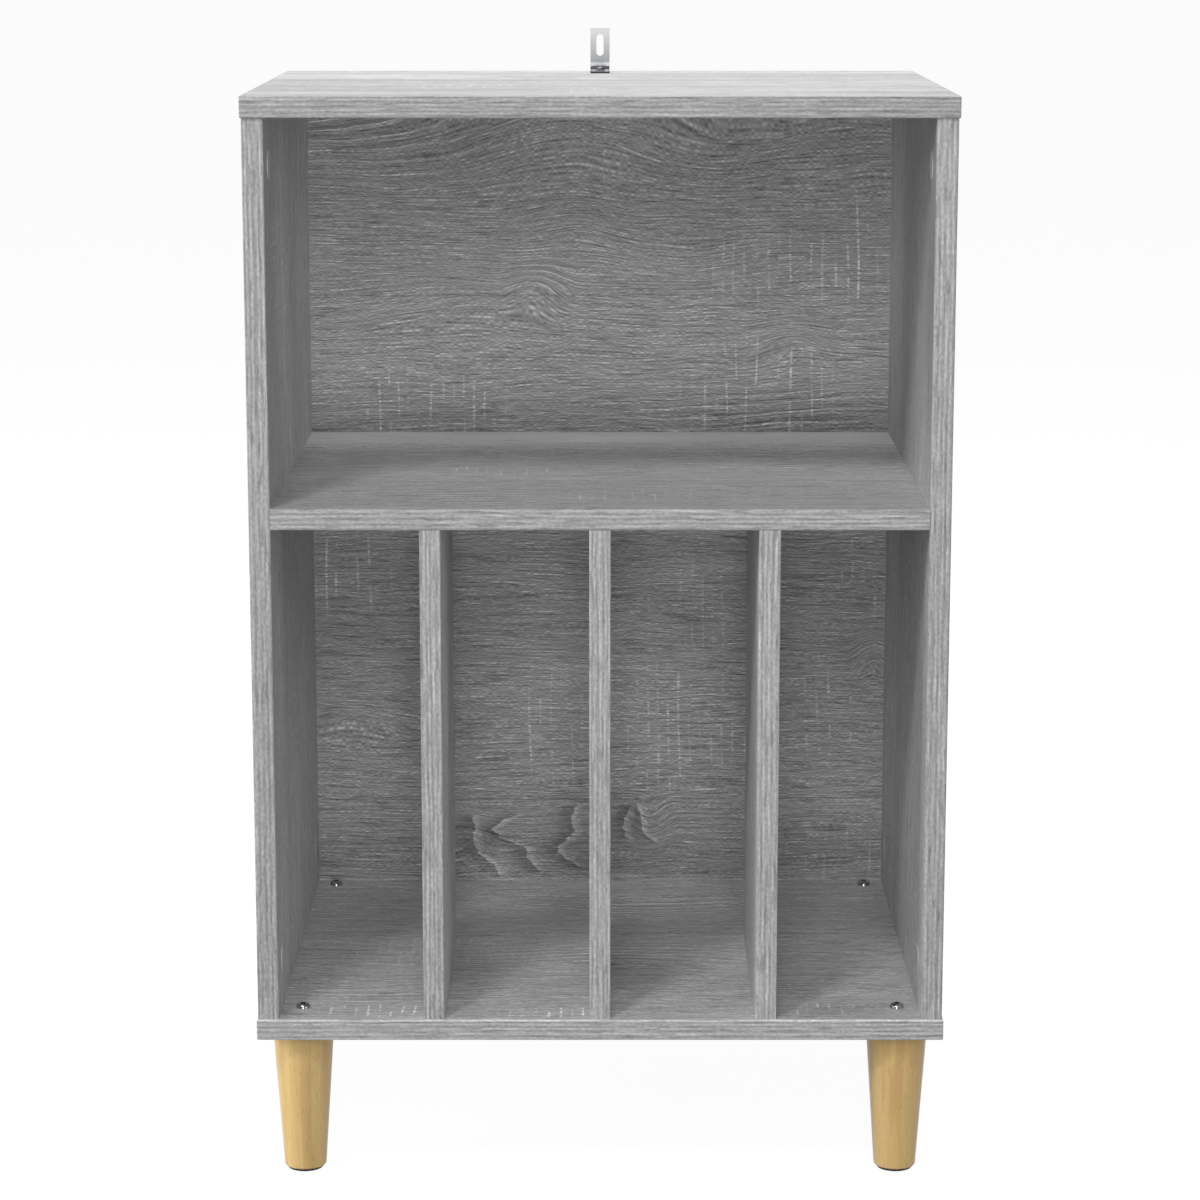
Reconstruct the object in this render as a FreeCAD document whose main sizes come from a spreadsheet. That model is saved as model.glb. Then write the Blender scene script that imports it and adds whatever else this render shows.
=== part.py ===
import FreeCAD, Part
import math
import os
import types
import Sketcher

# Record cabinet that carries a turntable: two grey oak boards held apart by side panels, an open bay over
# four upright record slots, four turned legs and a small slotted bracket that ties the top to a wall.
# The front faces -Y, +Z is up and the origin is the middle of the footprint at floor level.
# All lengths are in millimetres.
SIZES = {
    # Whole cabinet
    "cabinet_width": 490,
    "cabinet_depth": 380,
    "board_thickness": 15,
    "lower_bay_height": 354,
    "upper_bay_height": 269,
    # Side panels stand in from the ends and the front of the top and bottom boards
    "side_inset": 1,
    "front_setback": 2,
    # Edge band glued to each board's cut edges
    "band_thickness": 1.3,
    "band_rounding": 1,
    # Back panel, held in a groove on all four sides
    "panel_thickness": 3,
    "panel_clearance": 0.2,
    "panel_end_gap": 0.3,
    "groove_inset": 7.8,
    "groove_depth": 5,
    # Cam fittings: where they stand, the cam, its bolt and its cover
    "front_cam_inset": 35,
    "rear_cam_inset": 35,
    "cam_backset": 34,
    "cam_diameter": 14.8,
    "cam_clearance": 0.1,
    "cam_cavity_diameter": 10.4,
    "cam_offset": 0.6,
    "cam_cross_length": 9,
    "cam_cross_width": 1.6,
    "cam_bolt_thread_diameter": 6,
    "cam_bolt_thread_length": 10,
    "cam_bolt_thread_chamfer": 1,
    "cam_bolt_collar_diameter": 7.6,
    "cam_bolt_collar_height": 3,
    "cam_bolt_shank_diameter": 6,
    "cam_bolt_neck_diameter": 4.2,
    "cam_bolt_head_diameter": 6.4,
    "cam_bolt_head_chamfer": 0.7,
    "cam_bolt_head_length": 2.7,
    "cam_bolt_end_to_axis": 1.4,
    "cam_bolt_clearance": 0.2,
    "cam_bolt_end_gap": 0.5,
    "cover_diameter": 20,
    "cover_thickness": 0.6,
    "cover_bevel": 0.3,
    # Wooden dowels beside the cams
    "dowel_pitch": 32,
    "dowel_diameter": 8,
    "dowel_length": 30,
    "dowel_face_depth": 10,
    "dowel_chamfer": 1,
    "dowel_clearance": 0.1,
    "dowel_end_gap": 0.5,
    # Dividers, from their banded front edge to a free rear edge, and the rows of their dowels and screws
    "divider_depth": 200,
    "divider_row_inset": 40,
    # Countersunk screws that hold the dividers from below
    "divider_screw_diameter": 4,
    "divider_screw_head_diameter": 8,
    "divider_screw_length": 45,
    "divider_screw_tip": 5,
    "divider_screw_cross_length": 4.4,
    "divider_screw_cross_width": 1,
    "divider_screw_cross_depth": 1.2,
    "screw_clearance": 0.1,
    "screw_end_gap": 1,
    # Legs with their threaded inserts, bolts and foot pads
    "leg_height": 103,
    "leg_top_diameter": 44,
    "leg_bottom_diameter": 30,
    "leg_bottom_rounding": 1.5,
    "leg_side_inset": 31,
    "leg_front_inset": 30,
    "leg_rear_inset": 25,
    "insert_diameter": 10,
    "insert_length": 16,
    "insert_chamfer": 0.6,
    "insert_clearance": 0.1,
    "leg_bolt_diameter": 6,
    "leg_bolt_length": 35,
    "leg_bolt_chamfer": 0.8,
    "leg_bolt_clearance": 0.2,
    "leg_bolt_end_gap": 2,
    "leg_bolt_head_diameter": 10.5,
    "leg_bolt_head_height": 3.3,
    "leg_bolt_head_rounding": 2.9,
    "leg_bolt_hex": 4,
    "leg_bolt_hex_depth": 2,
    "foot_pad_diameter": 26,
    "foot_pad_thickness": 2,
    "foot_pad_bevel": 0.5,
    # Wall bracket and its screw
    "bracket_width": 15,
    "bracket_thickness": 1.5,
    "bracket_bend": 1.5,
    "bracket_tab_height": 33,
    "bracket_flange_length": 45,
    "bracket_slot_width": 5.6,
    "bracket_slot_length": 16.6,
    "bracket_slot_height": 20,
    "bracket_screw_inset": 22,
    "bracket_screw_diameter": 3.5,
    "bracket_screw_length": 12,
    "bracket_screw_tip": 3,
    "bracket_screw_head_diameter": 8,
    "bracket_screw_head_height": 2.6,
    "bracket_screw_head_rounding": 1.8,
    "bracket_screw_cross_length": 4.4,
    "bracket_screw_cross_width": 1,
    "bracket_screw_cross_depth": 1.3,
    # Every cut starts this far outside the solid
    "cut_overrun": 1,
}

# Parts of a size that follow another size
cam_depth_share = 0.8
cam_plate_share = 0.22
cam_cross_depth_share = 0.7

# Numbers nearer to each other than this are the same place
closeness = 1e-6

# The cam's slot opens at its entrance and runs this far round, and the locked cam has turned this far
cam_slot_angle = 200
cam_locked_angle = 140


class Size:
    """A length that knows its number and the expression by which the document works it out."""

    def __init__(self, number, text):
        self.number = number
        self.text = text

    def __add__(self, other):
        other = as_size(other)
        return Size(self.number + other.number, f"({self.text} + {other.text})")

    def __sub__(self, other):
        other = as_size(other)
        return Size(self.number - other.number, f"({self.text} - {other.text})")

    def __mul__(self, factor):
        return Size(self.number * factor, f"({self.text} * {factor})")

    def __truediv__(self, factor):
        return Size(self.number / factor, f"({self.text} / {factor})")

    def __neg__(self):
        return Size(-self.number, f"(-1 * {self.text})")


def as_size(value):
    """The value as a Size, where a plain zero is allowed too."""
    return value if isinstance(value, Size) else Size(float(value), str(value))


def larger(first, second):
    """The larger of two sizes."""
    return Size(max(first.number, second.number), f"max({first.text}; {second.text})")


def bind(thing, target, value):
    """Ties a property or a constraint to the sheet."""
    thing.setExpression(target, as_size(value).text)


doc = FreeCAD.newDocument("record_cabinet")
sheet = doc.addObject("Spreadsheet::Sheet", "Sizes")
for row, (alias, number) in enumerate(SIZES.items(), start=1):
    sheet.set(f"A{row}", alias.replace("_", " "))
    sheet.set(f"B{row}", str(number))
    sheet.setAlias(f"B{row}", alias)
doc.recompute()
cells = {alias: Size(float(number), f"Sizes.{alias}") for alias, number in SIZES.items()}
s = types.SimpleNamespace(**cells)

subparts = []


def new_body(label, x=0, y=0, z=0, kept=True):
    """A body whose own corner or axis stands at x, y, z. Bodies that are kept are written to a file."""
    body = doc.addObject("PartDesign::Body", label)
    body.Label = label
    for axis, place in zip("xyz", (x, y, z)):
        bind(body, f"Placement.Base.{axis}", place)
    if kept:
        subparts.append(body)
    return body


def new_sketch(body, role, lift=0):
    """A sketch on one of the body's own origin planes, moved along the plane's normal by lift."""
    sketch = body.newObject("Sketcher::SketchObject", f"{body.Name}_sketch")
    plane = [feature for feature in body.Origin.OriginFeatures if feature.Role == role][0]
    sketch.AttachmentSupport = [(plane, "")]
    sketch.MapMode = "FlatFace"
    bind(sketch, "AttachmentOffset.Base.z", lift)
    return sketch


def constrain(sketch, *facts):
    """Adds a constraint whose last fact may be a Size, which then stays bound to the sheet."""
    value = facts[-1]
    if isinstance(value, Size):
        number = sketch.addConstraint(Sketcher.Constraint(*facts[:-1], value.number))
        bind(sketch, f"Constraints[{number}]", value)
    else:
        sketch.addConstraint(Sketcher.Constraint(*facts))


def pin(sketch, curve, point, x, y):
    """Holds one point of a curve at x, y from the sketch's origin."""
    constrain(sketch, "DistanceX", -1, 1, curve, point, as_size(x))
    constrain(sketch, "DistanceY", -1, 1, curve, point, as_size(y))


def circle(sketch, x, y, diameter):
    """A circle about x, y."""
    centre = FreeCAD.Vector(as_size(x).number, as_size(y).number, 0)
    shape = Part.Circle(centre, FreeCAD.Vector(0, 0, 1), diameter.number / 2)
    number = sketch.addGeometry(shape, False)
    constrain(sketch, "Radius", number, diameter / 2)
    pin(sketch, number, 3, x, y)


def sign(number):
    """-1, 0 or 1."""
    return (number > closeness) - (number < -closeness)


def outline(sketch, corners):
    """A closed outline through corners (x, y), or (x, y, radius) where square edges meet in a round."""
    stops = []
    for index, corner in enumerate(corners):
        x, y = as_size(corner[0]), as_size(corner[1])
        if len(corner) == 2:
            stops.append((x, y, x, y, None))
            continue
        before, after = corners[index - 1], corners[(index + 1) % len(corners)]
        radius = corner[2]
        from_x = sign(as_size(before[0]).number - x.number)
        from_y = sign(as_size(before[1]).number - y.number)
        to_x = sign(as_size(after[0]).number - x.number)
        to_y = sign(as_size(after[1]).number - y.number)
        start = (x + radius * from_x, y + radius * from_y)
        end = (x + radius * to_x, y + radius * to_y)
        stops.append((*start, *end, radius))
    curves = []
    for index, (start_x, start_y, end_x, end_y, radius) in enumerate(stops):
        begin = FreeCAD.Vector(start_x.number, start_y.number, 0)
        finish = FreeCAD.Vector(end_x.number, end_y.number, 0)
        if radius is not None:
            x, y = as_size(corners[index][0]).number, as_size(corners[index][1]).number
            centre = begin + finish - FreeCAD.Vector(x, y, 0)
            turn = (begin - centre).cross(finish - centre).z
            first, last = (begin, finish) if turn > 0 else (finish, begin)
            arc = Part.ArcOfCircle(
                Part.Circle(centre, FreeCAD.Vector(0, 0, 1), radius.number),
                math.atan2(first.y - centre.y, first.x - centre.x),
                math.atan2(last.y - centre.y, last.x - centre.x),
            )
            number = sketch.addGeometry(arc, False)
            constrain(sketch, "Radius", number, radius)
            curves.append((number, 1 if turn > 0 else 2, 2 if turn > 0 else 1))
        following = stops[(index + 1) % len(stops)]
        target = FreeCAD.Vector(following[0].number, following[1].number, 0)
        line = sketch.addGeometry(Part.LineSegment(finish, target), False)
        curves.append((line, 1, 2))
        pin(sketch, line, 1, end_x, end_y)
        if following[4] is not None:
            pin(sketch, line, 2, following[0], following[1])
    for this, after in zip(curves, curves[1:] + curves[:1]):
        constrain(sketch, "Coincident", this[0], this[2], after[0], after[1])


def rectangle(sketch, x_low, y_low, x_high, y_high):
    """A rectangle between two opposite corners."""
    outline(sketch, [(x_low, y_low), (x_high, y_low), (x_high, y_high), (x_low, y_high)])


def cross(sketch, x, y, length, width):
    """The outline of a cross recess about x, y."""
    far, near = length / 2, width / 2
    shape = [(far, near), (near, near), (near, far), (-near, far), (-near, near), (-far, near)]
    shape += [(-far, -near), (-near, -near), (-near, -far), (near, -far), (near, -near), (far, -near)]
    outline(sketch, [(as_size(x) + across, as_size(y) + up) for across, up in shape])


def hexagon(sketch, across_flats):
    """A hexagon about the sketch's origin."""
    reach = across_flats / math.sqrt(3)
    sides = 6
    turns = [math.tau * side / sides for side in range(sides)]
    outline(sketch, [(reach * math.cos(turn), reach * math.sin(turn)) for turn in turns])


def straight_slot(sketch, x, y, width, length):
    """An upright slot with round ends about x, y."""
    radius = width / 2
    reach = (length - width) / 2
    up = FreeCAD.Vector(0, 0, 1)
    high = Part.Circle(FreeCAD.Vector(x.number, (y + reach).number, 0), up, radius.number)
    low = Part.Circle(FreeCAD.Vector(x.number, (y - reach).number, 0), up, radius.number)
    top = sketch.addGeometry(Part.ArcOfCircle(high, 0, math.pi), False)
    bottom = sketch.addGeometry(Part.ArcOfCircle(low, math.pi, math.tau), False)
    sides = []
    for side in (-1, 1):
        edge = x.number + side * radius.number
        ends = [FreeCAD.Vector(edge, height.number, 0) for height in (y - reach, y + reach)]
        sides.append(sketch.addGeometry(Part.LineSegment(*ends), False))
    constrain(sketch, "Radius", top, radius)
    constrain(sketch, "Radius", bottom, radius)
    pin(sketch, top, 3, x, y + reach)
    pin(sketch, bottom, 3, x, y - reach)
    constrain(sketch, "Tangent", sides[0], 2, top, 2)
    constrain(sketch, "Tangent", sides[1], 2, top, 1)
    constrain(sketch, "Tangent", sides[0], 1, bottom, 1)
    constrain(sketch, "Tangent", sides[1], 1, bottom, 2)


def pad(body, sketch, length, backwards=False):
    """Thickens a sketch along its plane's normal, or against it."""
    feature = body.newObject("PartDesign::Pad", f"{body.Name}_pad")
    feature.Profile = sketch
    feature.Reversed = backwards
    bind(feature, "Length", length)
    return feature


def pocket(body, sketch, depth, along=False):
    """Cuts a sketch against its plane's normal, or along it."""
    feature = body.newObject("PartDesign::Pocket", f"{body.Name}_pocket")
    feature.Profile = sketch
    feature.Reversed = along
    bind(feature, "Length", depth)
    return feature


def revolve(body, corners):
    """Turns an outline of (radius, height) corners about the body's Z axis."""
    sketch = new_sketch(body, "XZ_Plane")
    outline(sketch, corners)
    feature = body.newObject("PartDesign::Revolution", f"{body.Name}_revolution")
    feature.Profile = sketch
    feature.ReferenceAxis = (sketch, ["V_Axis"])
    feature.Angle = 360
    return feature


def dress(body, kind, feature, chosen, target, size):
    """A fillet or a chamfer on the edges of a feature that the test picks."""
    doc.recompute()
    edges = [f"Edge{number}" for number, edge in enumerate(feature.Shape.Edges, start=1) if chosen(edge)]
    finish = body.newObject(kind, f"{body.Name}_dressing")
    finish.Base = (feature, edges)
    bind(finish, target, size)
    return finish


def is_ring_at_zero(edge):
    """True for a round edge at the height of the body's own origin."""
    return isinstance(edge.Curve, Part.Circle) and abs(edge.Curve.Center.z) < closeness


def drill(body, role, lift, spots, diameter, depth, along=False):
    """Round holes at spots on a plane of the body."""
    sketch = new_sketch(body, role, lift)
    for x, y in spots:
        circle(sketch, x, y, diameter)
    return pocket(body, sketch, depth, along)


def group(label, master, places):
    """Identical fasteners as one sub-part: a copy of the master at each (x, y, z, rotation)."""
    copies = []
    for x, y, z, rotation in places:
        copy = doc.addObject("App::Link", f"{label}_copy")
        copy.LinkedObject = master
        copy.Placement = FreeCAD.Placement(FreeCAD.Vector(0, 0, 0), rotation)
        for axis, place in zip("xyz", (x, y, z)):
            bind(copy, f"Placement.Base.{axis}", place)
        copies.append(copy)
    compound = doc.addObject("Part::Compound", label)
    compound.Label = label
    compound.Links = copies
    subparts.append(compound)


# Heights
pad_top = s.foot_pad_thickness
bottom_low = pad_top + s.leg_height
bottom_high = bottom_low + s.board_thickness
shelf_low = bottom_high + s.lower_bay_height
shelf_high = shelf_low + s.board_thickness
top_low = shelf_high + s.upper_bay_height
top_high = top_low + s.board_thickness
side_height = top_low - bottom_high

# Widths
half_width = s.cabinet_width / 2
outer_side = half_width - s.side_inset
inner_side = outer_side - s.board_thickness
side_middle = outer_side - s.board_thickness / 2
inner_width = inner_side * 2
slot_width = (inner_width - s.board_thickness * 3) / 4
first_divider = slot_width - inner_side
divider_step = slot_width + s.board_thickness
divider_lows = [first_divider + divider_step * number for number in range(3)]
divider_middles = [low + s.board_thickness / 2 for low in divider_lows]

# Depths, from the front of the top board at -Y to its rear
front = -s.cabinet_depth / 2
rear = s.cabinet_depth / 2
band_front = front + s.front_setback
board_front = band_front + s.band_thickness
groove_rear = rear - s.groove_inset
groove_width = s.panel_thickness + s.panel_clearance * 2
groove_front = groove_rear - groove_width
panel_front = groove_rear - s.panel_clearance - s.panel_thickness
side_depth = rear - board_front
shelf_depth = panel_front - s.panel_end_gap - board_front
cam_rows = [band_front + s.front_cam_inset, rear - s.rear_cam_inset]
dowel_rows = [cam_rows[0] + s.dowel_pitch, cam_rows[1] - s.dowel_pitch]
divider_rear = band_front + s.divider_depth
divider_rows = [band_front + s.divider_row_inset, divider_rear - s.divider_row_inset]
leg_places = {
    "front_left": (-half_width + s.leg_side_inset, front + s.leg_front_inset),
    "front_right": (half_width - s.leg_side_inset, front + s.leg_front_inset),
    "rear_left": (-half_width + s.leg_side_inset, rear - s.leg_rear_inset),
    "rear_right": (half_width - s.leg_side_inset, rear - s.leg_rear_inset),
}

# Holes, each from the fastener that goes in
cam_bore = s.cam_diameter + s.cam_clearance * 2
cam_bore_depth = s.board_thickness * cam_depth_share
cam_height = cam_bore_depth - s.cam_clearance
thread_bore = s.cam_bolt_thread_diameter + s.cam_bolt_clearance
thread_bore_depth = s.cam_bolt_thread_length + s.cam_bolt_end_gap
shank_bore = s.cam_bolt_collar_diameter + s.cam_bolt_clearance * 2
dowel_bore = s.dowel_diameter + s.dowel_clearance * 2
dowel_face_bore_depth = s.dowel_face_depth + s.dowel_end_gap
dowel_end_bore_depth = s.dowel_length - s.dowel_face_depth + s.dowel_end_gap
divider_screw_bore = s.divider_screw_diameter + s.screw_clearance * 2
bracket_screw_bore = s.bracket_screw_diameter + s.screw_clearance * 2
bracket_screw_y = rear - s.bracket_screw_inset
bracket_screw_bore_depth = s.bracket_screw_length - s.bracket_thickness + s.screw_end_gap
insert_bore = s.insert_diameter + s.insert_clearance * 2
leg_bolt_bore = s.leg_bolt_diameter + s.leg_bolt_clearance * 2


def lay_board(label, x, y, z, length, depth):
    """A level board core whose low corner stands at x, y, z."""
    body = new_body(label, x, y, z)
    sketch = new_sketch(body, "XY_Plane")
    rectangle(sketch, 0, 0, length, depth)
    pad(body, sketch, s.board_thickness)
    return body


def stand_board(label, x, y, z, depth, height):
    """An upright board core whose low corner stands at x, y, z and whose faces look along X."""
    body = new_body(label, x, y, z)
    sketch = new_sketch(body, "YZ_Plane")
    rectangle(sketch, 0, 0, depth, height)
    pad(body, sketch, s.board_thickness)
    return body


def outer_board(label, z, inner_lift, along):
    """The top or bottom board's core, drilled and grooved on the face that meets the side panels."""
    x_low = -half_width + s.band_thickness
    y_low = front + s.band_thickness
    length = s.cabinet_width - s.band_thickness * 2
    depth = s.cabinet_depth - s.band_thickness * 2
    body = lay_board(label, x_low, y_low, z, length, depth)
    columns = [-side_middle - x_low, side_middle - x_low]
    bolts = [(x, y - y_low) for x in columns for y in cam_rows]
    dowels = [(x, y - y_low) for x in columns for y in dowel_rows]
    drill(body, "XY_Plane", inner_lift, bolts, thread_bore, thread_bore_depth, along)
    drill(body, "XY_Plane", inner_lift, dowels, dowel_bore, dowel_face_bore_depth, along)
    groove = new_sketch(body, "XY_Plane", inner_lift)
    reach = inner_side + s.groove_depth
    rectangle(groove, -reach - x_low, groove_front - y_low, reach - x_low, groove_rear - y_low)
    pocket(body, groove, s.groove_depth, along)
    return body, x_low, y_low


def make_top_board():
    """The board that carries the turntable, with a pilot hole for the bracket's screw."""
    body, x_low, y_low = outer_board("top_board", top_low, 0, True)
    spot = [(-x_low, bracket_screw_y - y_low)]
    drill(body, "XY_Plane", s.board_thickness, spot, bracket_screw_bore, bracket_screw_bore_depth)


def make_bottom_board():
    """The board on the legs, with the leg bolts' holes and countersunk holes for the dividers' screws."""
    body, x_low, y_low = outer_board("bottom_board", bottom_low, s.board_thickness, False)
    through = s.board_thickness + s.cut_overrun * 2
    lift = s.board_thickness + s.cut_overrun
    bolts = [(x - x_low, y - y_low) for x, y in leg_places.values()]
    drill(body, "XY_Plane", lift, bolts, leg_bolt_bore, through)
    screws = [(x - x_low, y - y_low) for x in divider_middles for y in divider_rows]
    holes = drill(body, "XY_Plane", lift, screws, divider_screw_bore, through)
    radius = divider_screw_bore.number / 2
    sink = (s.divider_screw_head_diameter - s.divider_screw_diameter) / 2

    def is_lower_rim(edge):
        return is_ring_at_zero(edge) and abs(edge.Curve.Radius - radius) < closeness

    dress(body, "PartDesign::Chamfer", holes, is_lower_rim, "Size", sink)


def make_side_panel(label, x_low, inner_lift, along):
    """One side panel: cam bores, bolt and dowel bores in both ends, shelf holes and the rear groove."""
    body = stand_board(label, x_low, board_front, bottom_high, side_depth, side_height)
    cams = [y - board_front for y in cam_rows]
    dowels = [y - board_front for y in dowel_rows]
    ends = [s.cam_backset, side_height - s.cam_backset]
    spots = [(y, z) for y in cams for z in ends]
    drill(body, "YZ_Plane", inner_lift, spots, cam_bore, cam_bore_depth, along)
    middle = s.board_thickness / 2
    for lift, upwards in ((0, True), (side_height, False)):
        bolts = [(middle, y) for y in cams]
        drill(body, "XY_Plane", lift, bolts, shank_bore, s.cam_backset, upwards)
        pegs = [(middle, y) for y in dowels]
        drill(body, "XY_Plane", lift, pegs, dowel_bore, dowel_end_bore_depth, upwards)
    shelf_middle = shelf_low + middle - bottom_high
    threads = [(y, shelf_middle) for y in cams]
    drill(body, "YZ_Plane", inner_lift, threads, thread_bore, thread_bore_depth, along)
    pegs = [(y, shelf_middle) for y in dowels]
    drill(body, "YZ_Plane", inner_lift, pegs, dowel_bore, dowel_face_bore_depth, along)
    groove = new_sketch(body, "YZ_Plane", inner_lift)
    low, high = groove_front - board_front, groove_rear - board_front
    rectangle(groove, low, -s.cut_overrun, high, side_height + s.cut_overrun)
    pocket(body, groove, s.groove_depth, along)


def make_shelf():
    """The shelf between the bays: cams and the dividers' dowels in its underside, bolts in its ends."""
    body = lay_board("middle_shelf", -inner_side, board_front, shelf_low, inner_width, shelf_depth)
    cams = [y - board_front for y in cam_rows]
    dowels = [y - board_front for y in dowel_rows]
    columns = [s.cam_backset, inner_width - s.cam_backset]
    drill(body, "XY_Plane", 0, [(x, y) for x in columns for y in cams], cam_bore, cam_bore_depth, True)
    pegs = [(x + inner_side, y - board_front) for x in divider_middles for y in divider_rows]
    drill(body, "XY_Plane", 0, pegs, dowel_bore, dowel_face_bore_depth, True)
    middle = s.board_thickness / 2
    for lift, along in ((0, True), (inner_width, False)):
        bolts = [(y, middle) for y in cams]
        drill(body, "YZ_Plane", lift, bolts, shank_bore, s.cam_backset, along)
        pegs = [(y, middle) for y in dowels]
        drill(body, "YZ_Plane", lift, pegs, dowel_bore, dowel_end_bore_depth, along)


def make_divider(label, x_low):
    """One upright divider between two record slots, dowelled above and screwed from below. It ends short
    of the back panel."""
    depth = divider_rear - board_front
    body = stand_board(label, x_low, board_front, bottom_high, depth, s.lower_bay_height)
    spots = [(s.board_thickness / 2, y - board_front) for y in divider_rows]
    drill(body, "XY_Plane", s.lower_bay_height, spots, dowel_bore, dowel_end_bore_depth)
    screw_depth = s.divider_screw_length - s.board_thickness + s.screw_end_gap
    drill(body, "XY_Plane", 0, spots, divider_screw_bore, screw_depth, True)


def make_back_panel():
    """The thin panel that closes the back, captive in the grooves of the four boards round it."""
    reach = s.groove_depth - s.panel_end_gap
    body = new_body("back_panel", -inner_side - reach, panel_front, bottom_high - reach)
    sketch = new_sketch(body, "XZ_Plane")
    rectangle(sketch, 0, 0, inner_width + reach * 2, side_height + reach * 2)
    pad(body, sketch, s.panel_thickness, backwards=True)


def make_ring_band(label, z):
    """The band round all four edges of the top or bottom board, with its outer edges rounded over."""
    body = new_body(label, -half_width, front, z)
    sketch = new_sketch(body, "XY_Plane")
    band, width, depth = s.band_thickness, s.cabinet_width, s.cabinet_depth
    rectangle(sketch, 0, 0, width, depth)
    rectangle(sketch, band, band, width - band, depth - band)
    ring = pad(body, sketch, s.board_thickness)

    def is_outer(edge):
        middle = edge.BoundBox.Center
        gaps = (middle.x, width.number - middle.x, middle.y, depth.number - middle.y)
        return min(gaps) < band.number / 2

    dress(body, "PartDesign::Fillet", ring, is_outer, "Radius", s.band_rounding)


def make_front_band(label, x, z, width, height, upright):
    """The band on a board's front edge: a strip with its two front edges rounded over."""
    body = new_body(label, x, band_front, z)
    sketch = new_sketch(body, "XY_Plane" if upright else "YZ_Plane")
    band, rounding = s.band_thickness, s.band_rounding
    if upright:
        outline(sketch, [(0, 0, rounding), (width, 0, rounding), (width, band), (0, band)])
    else:
        outline(sketch, [(0, 0, rounding), (band, 0), (band, height), (0, height, rounding)])
    pad(body, sketch, height if upright else width)


def make_legs():
    """Four turned, tapered legs, each bored from above for its insert and bolt, and four foot pads."""
    top, low, height = s.leg_top_diameter / 2, s.leg_bottom_diameter / 2, s.leg_height
    wide, narrow = insert_bore / 2, leg_bolt_bore / 2
    seat = height - s.insert_length - s.insert_clearance
    reach = larger(s.leg_bolt_length - s.board_thickness, s.insert_length) + s.leg_bolt_end_gap
    bore_end = height - reach
    corners = [(0, 0), (low, 0), (top, height), (wide, height), (wide, seat)]
    corners += [(narrow, seat), (narrow, bore_end), (0, bore_end)]
    for corner, (x, y) in leg_places.items():
        leg = new_body(f"{corner}_leg", x, y, pad_top)
        turned = revolve(leg, corners)
        dress(leg, "PartDesign::Fillet", turned, is_ring_at_zero, "Radius", s.leg_bottom_rounding)
    radius, bevel = s.foot_pad_diameter / 2, s.foot_pad_bevel
    thickness = s.foot_pad_thickness
    for corner, (x, y) in leg_places.items():
        disc = new_body(f"{corner}_foot_pad", x, y, 0)
        revolve(disc, [(0, 0), (radius - bevel, 0), (radius, bevel), (radius, thickness), (0, thickness)])


def make_leg_fasteners():
    """The threaded inserts in the legs, flush with their tops, and the button-head bolts from above."""
    insert = new_body("leg_insert", kept=False)
    inner, outer, bevel = leg_bolt_bore / 2, s.insert_diameter / 2, s.insert_chamfer
    length = s.insert_length
    corners = [(inner, 0), (outer, 0), (outer, bevel - length), (outer - bevel, -length), (inner, -length)]
    revolve(insert, corners)
    upright = FreeCAD.Rotation()
    group("leg_inserts", insert, [(x, y, bottom_low, upright) for x, y in leg_places.values()])

    bolt = new_body("leg_bolt", kept=False)
    radius, head = s.leg_bolt_diameter / 2, s.leg_bolt_head_diameter / 2
    length, height, bevel = s.leg_bolt_length, s.leg_bolt_head_height, s.leg_bolt_chamfer
    shank = [(0, -length), (radius - bevel, -length), (radius, bevel - length), (radius, 0)]
    revolve(bolt, shank + [(head, 0), (head, height, s.leg_bolt_head_rounding), (0, height)])
    socket = new_sketch(bolt, "XY_Plane", height)
    hexagon(socket, s.leg_bolt_hex)
    pocket(bolt, socket, s.leg_bolt_hex_depth)
    group("leg_bolts", bolt, [(x, y, bottom_high, upright) for x, y in leg_places.values()])


def make_cam():
    """A cam lock, top face at the origin: a hollow eccentric drum with an entrance and a running slot."""
    cam = new_body("cam_lock", kept=False)
    drum = new_sketch(cam, "XY_Plane")
    circle(drum, 0, 0, s.cam_diameter)
    pad(cam, drum, cam_height, backwards=True)
    cavity = new_sketch(cam, "XY_Plane", -cam_height - s.cut_overrun)
    circle(cavity, s.cam_offset, 0, s.cam_cavity_diameter)
    plate = cam_height * cam_plate_share
    pocket(cam, cavity, cam_height - plate + s.cut_overrun, along=True)
    bolt_axis = -s.board_thickness / 2
    entrance = new_sketch(cam, "YZ_Plane", s.cam_diameter / 2 + s.cut_overrun)
    circle(entrance, 0, bolt_axis, s.cam_bolt_head_diameter + s.cam_bolt_clearance * 2)
    pocket(cam, entrance, s.cam_diameter / 2 + s.cut_overrun)
    slot = new_sketch(cam, "XZ_Plane")
    half_slot = s.cam_bolt_neck_diameter / 2 + s.cam_bolt_clearance
    near, far = s.cam_cavity_diameter / 4, s.cam_diameter / 2 + s.cut_overrun
    rectangle(slot, near, bolt_axis - half_slot, far, bolt_axis + half_slot)
    groove = cam.newObject("PartDesign::Groove", "cam_lock_groove")
    groove.Profile = slot
    groove.ReferenceAxis = (slot, ["V_Axis"])
    groove.Angle = cam_slot_angle
    recess = new_sketch(cam, "XY_Plane")
    cross(recess, 0, 0, s.cam_cross_length, s.cam_cross_width)
    pocket(cam, recess, plate * cam_cross_depth_share)
    return cam


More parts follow.
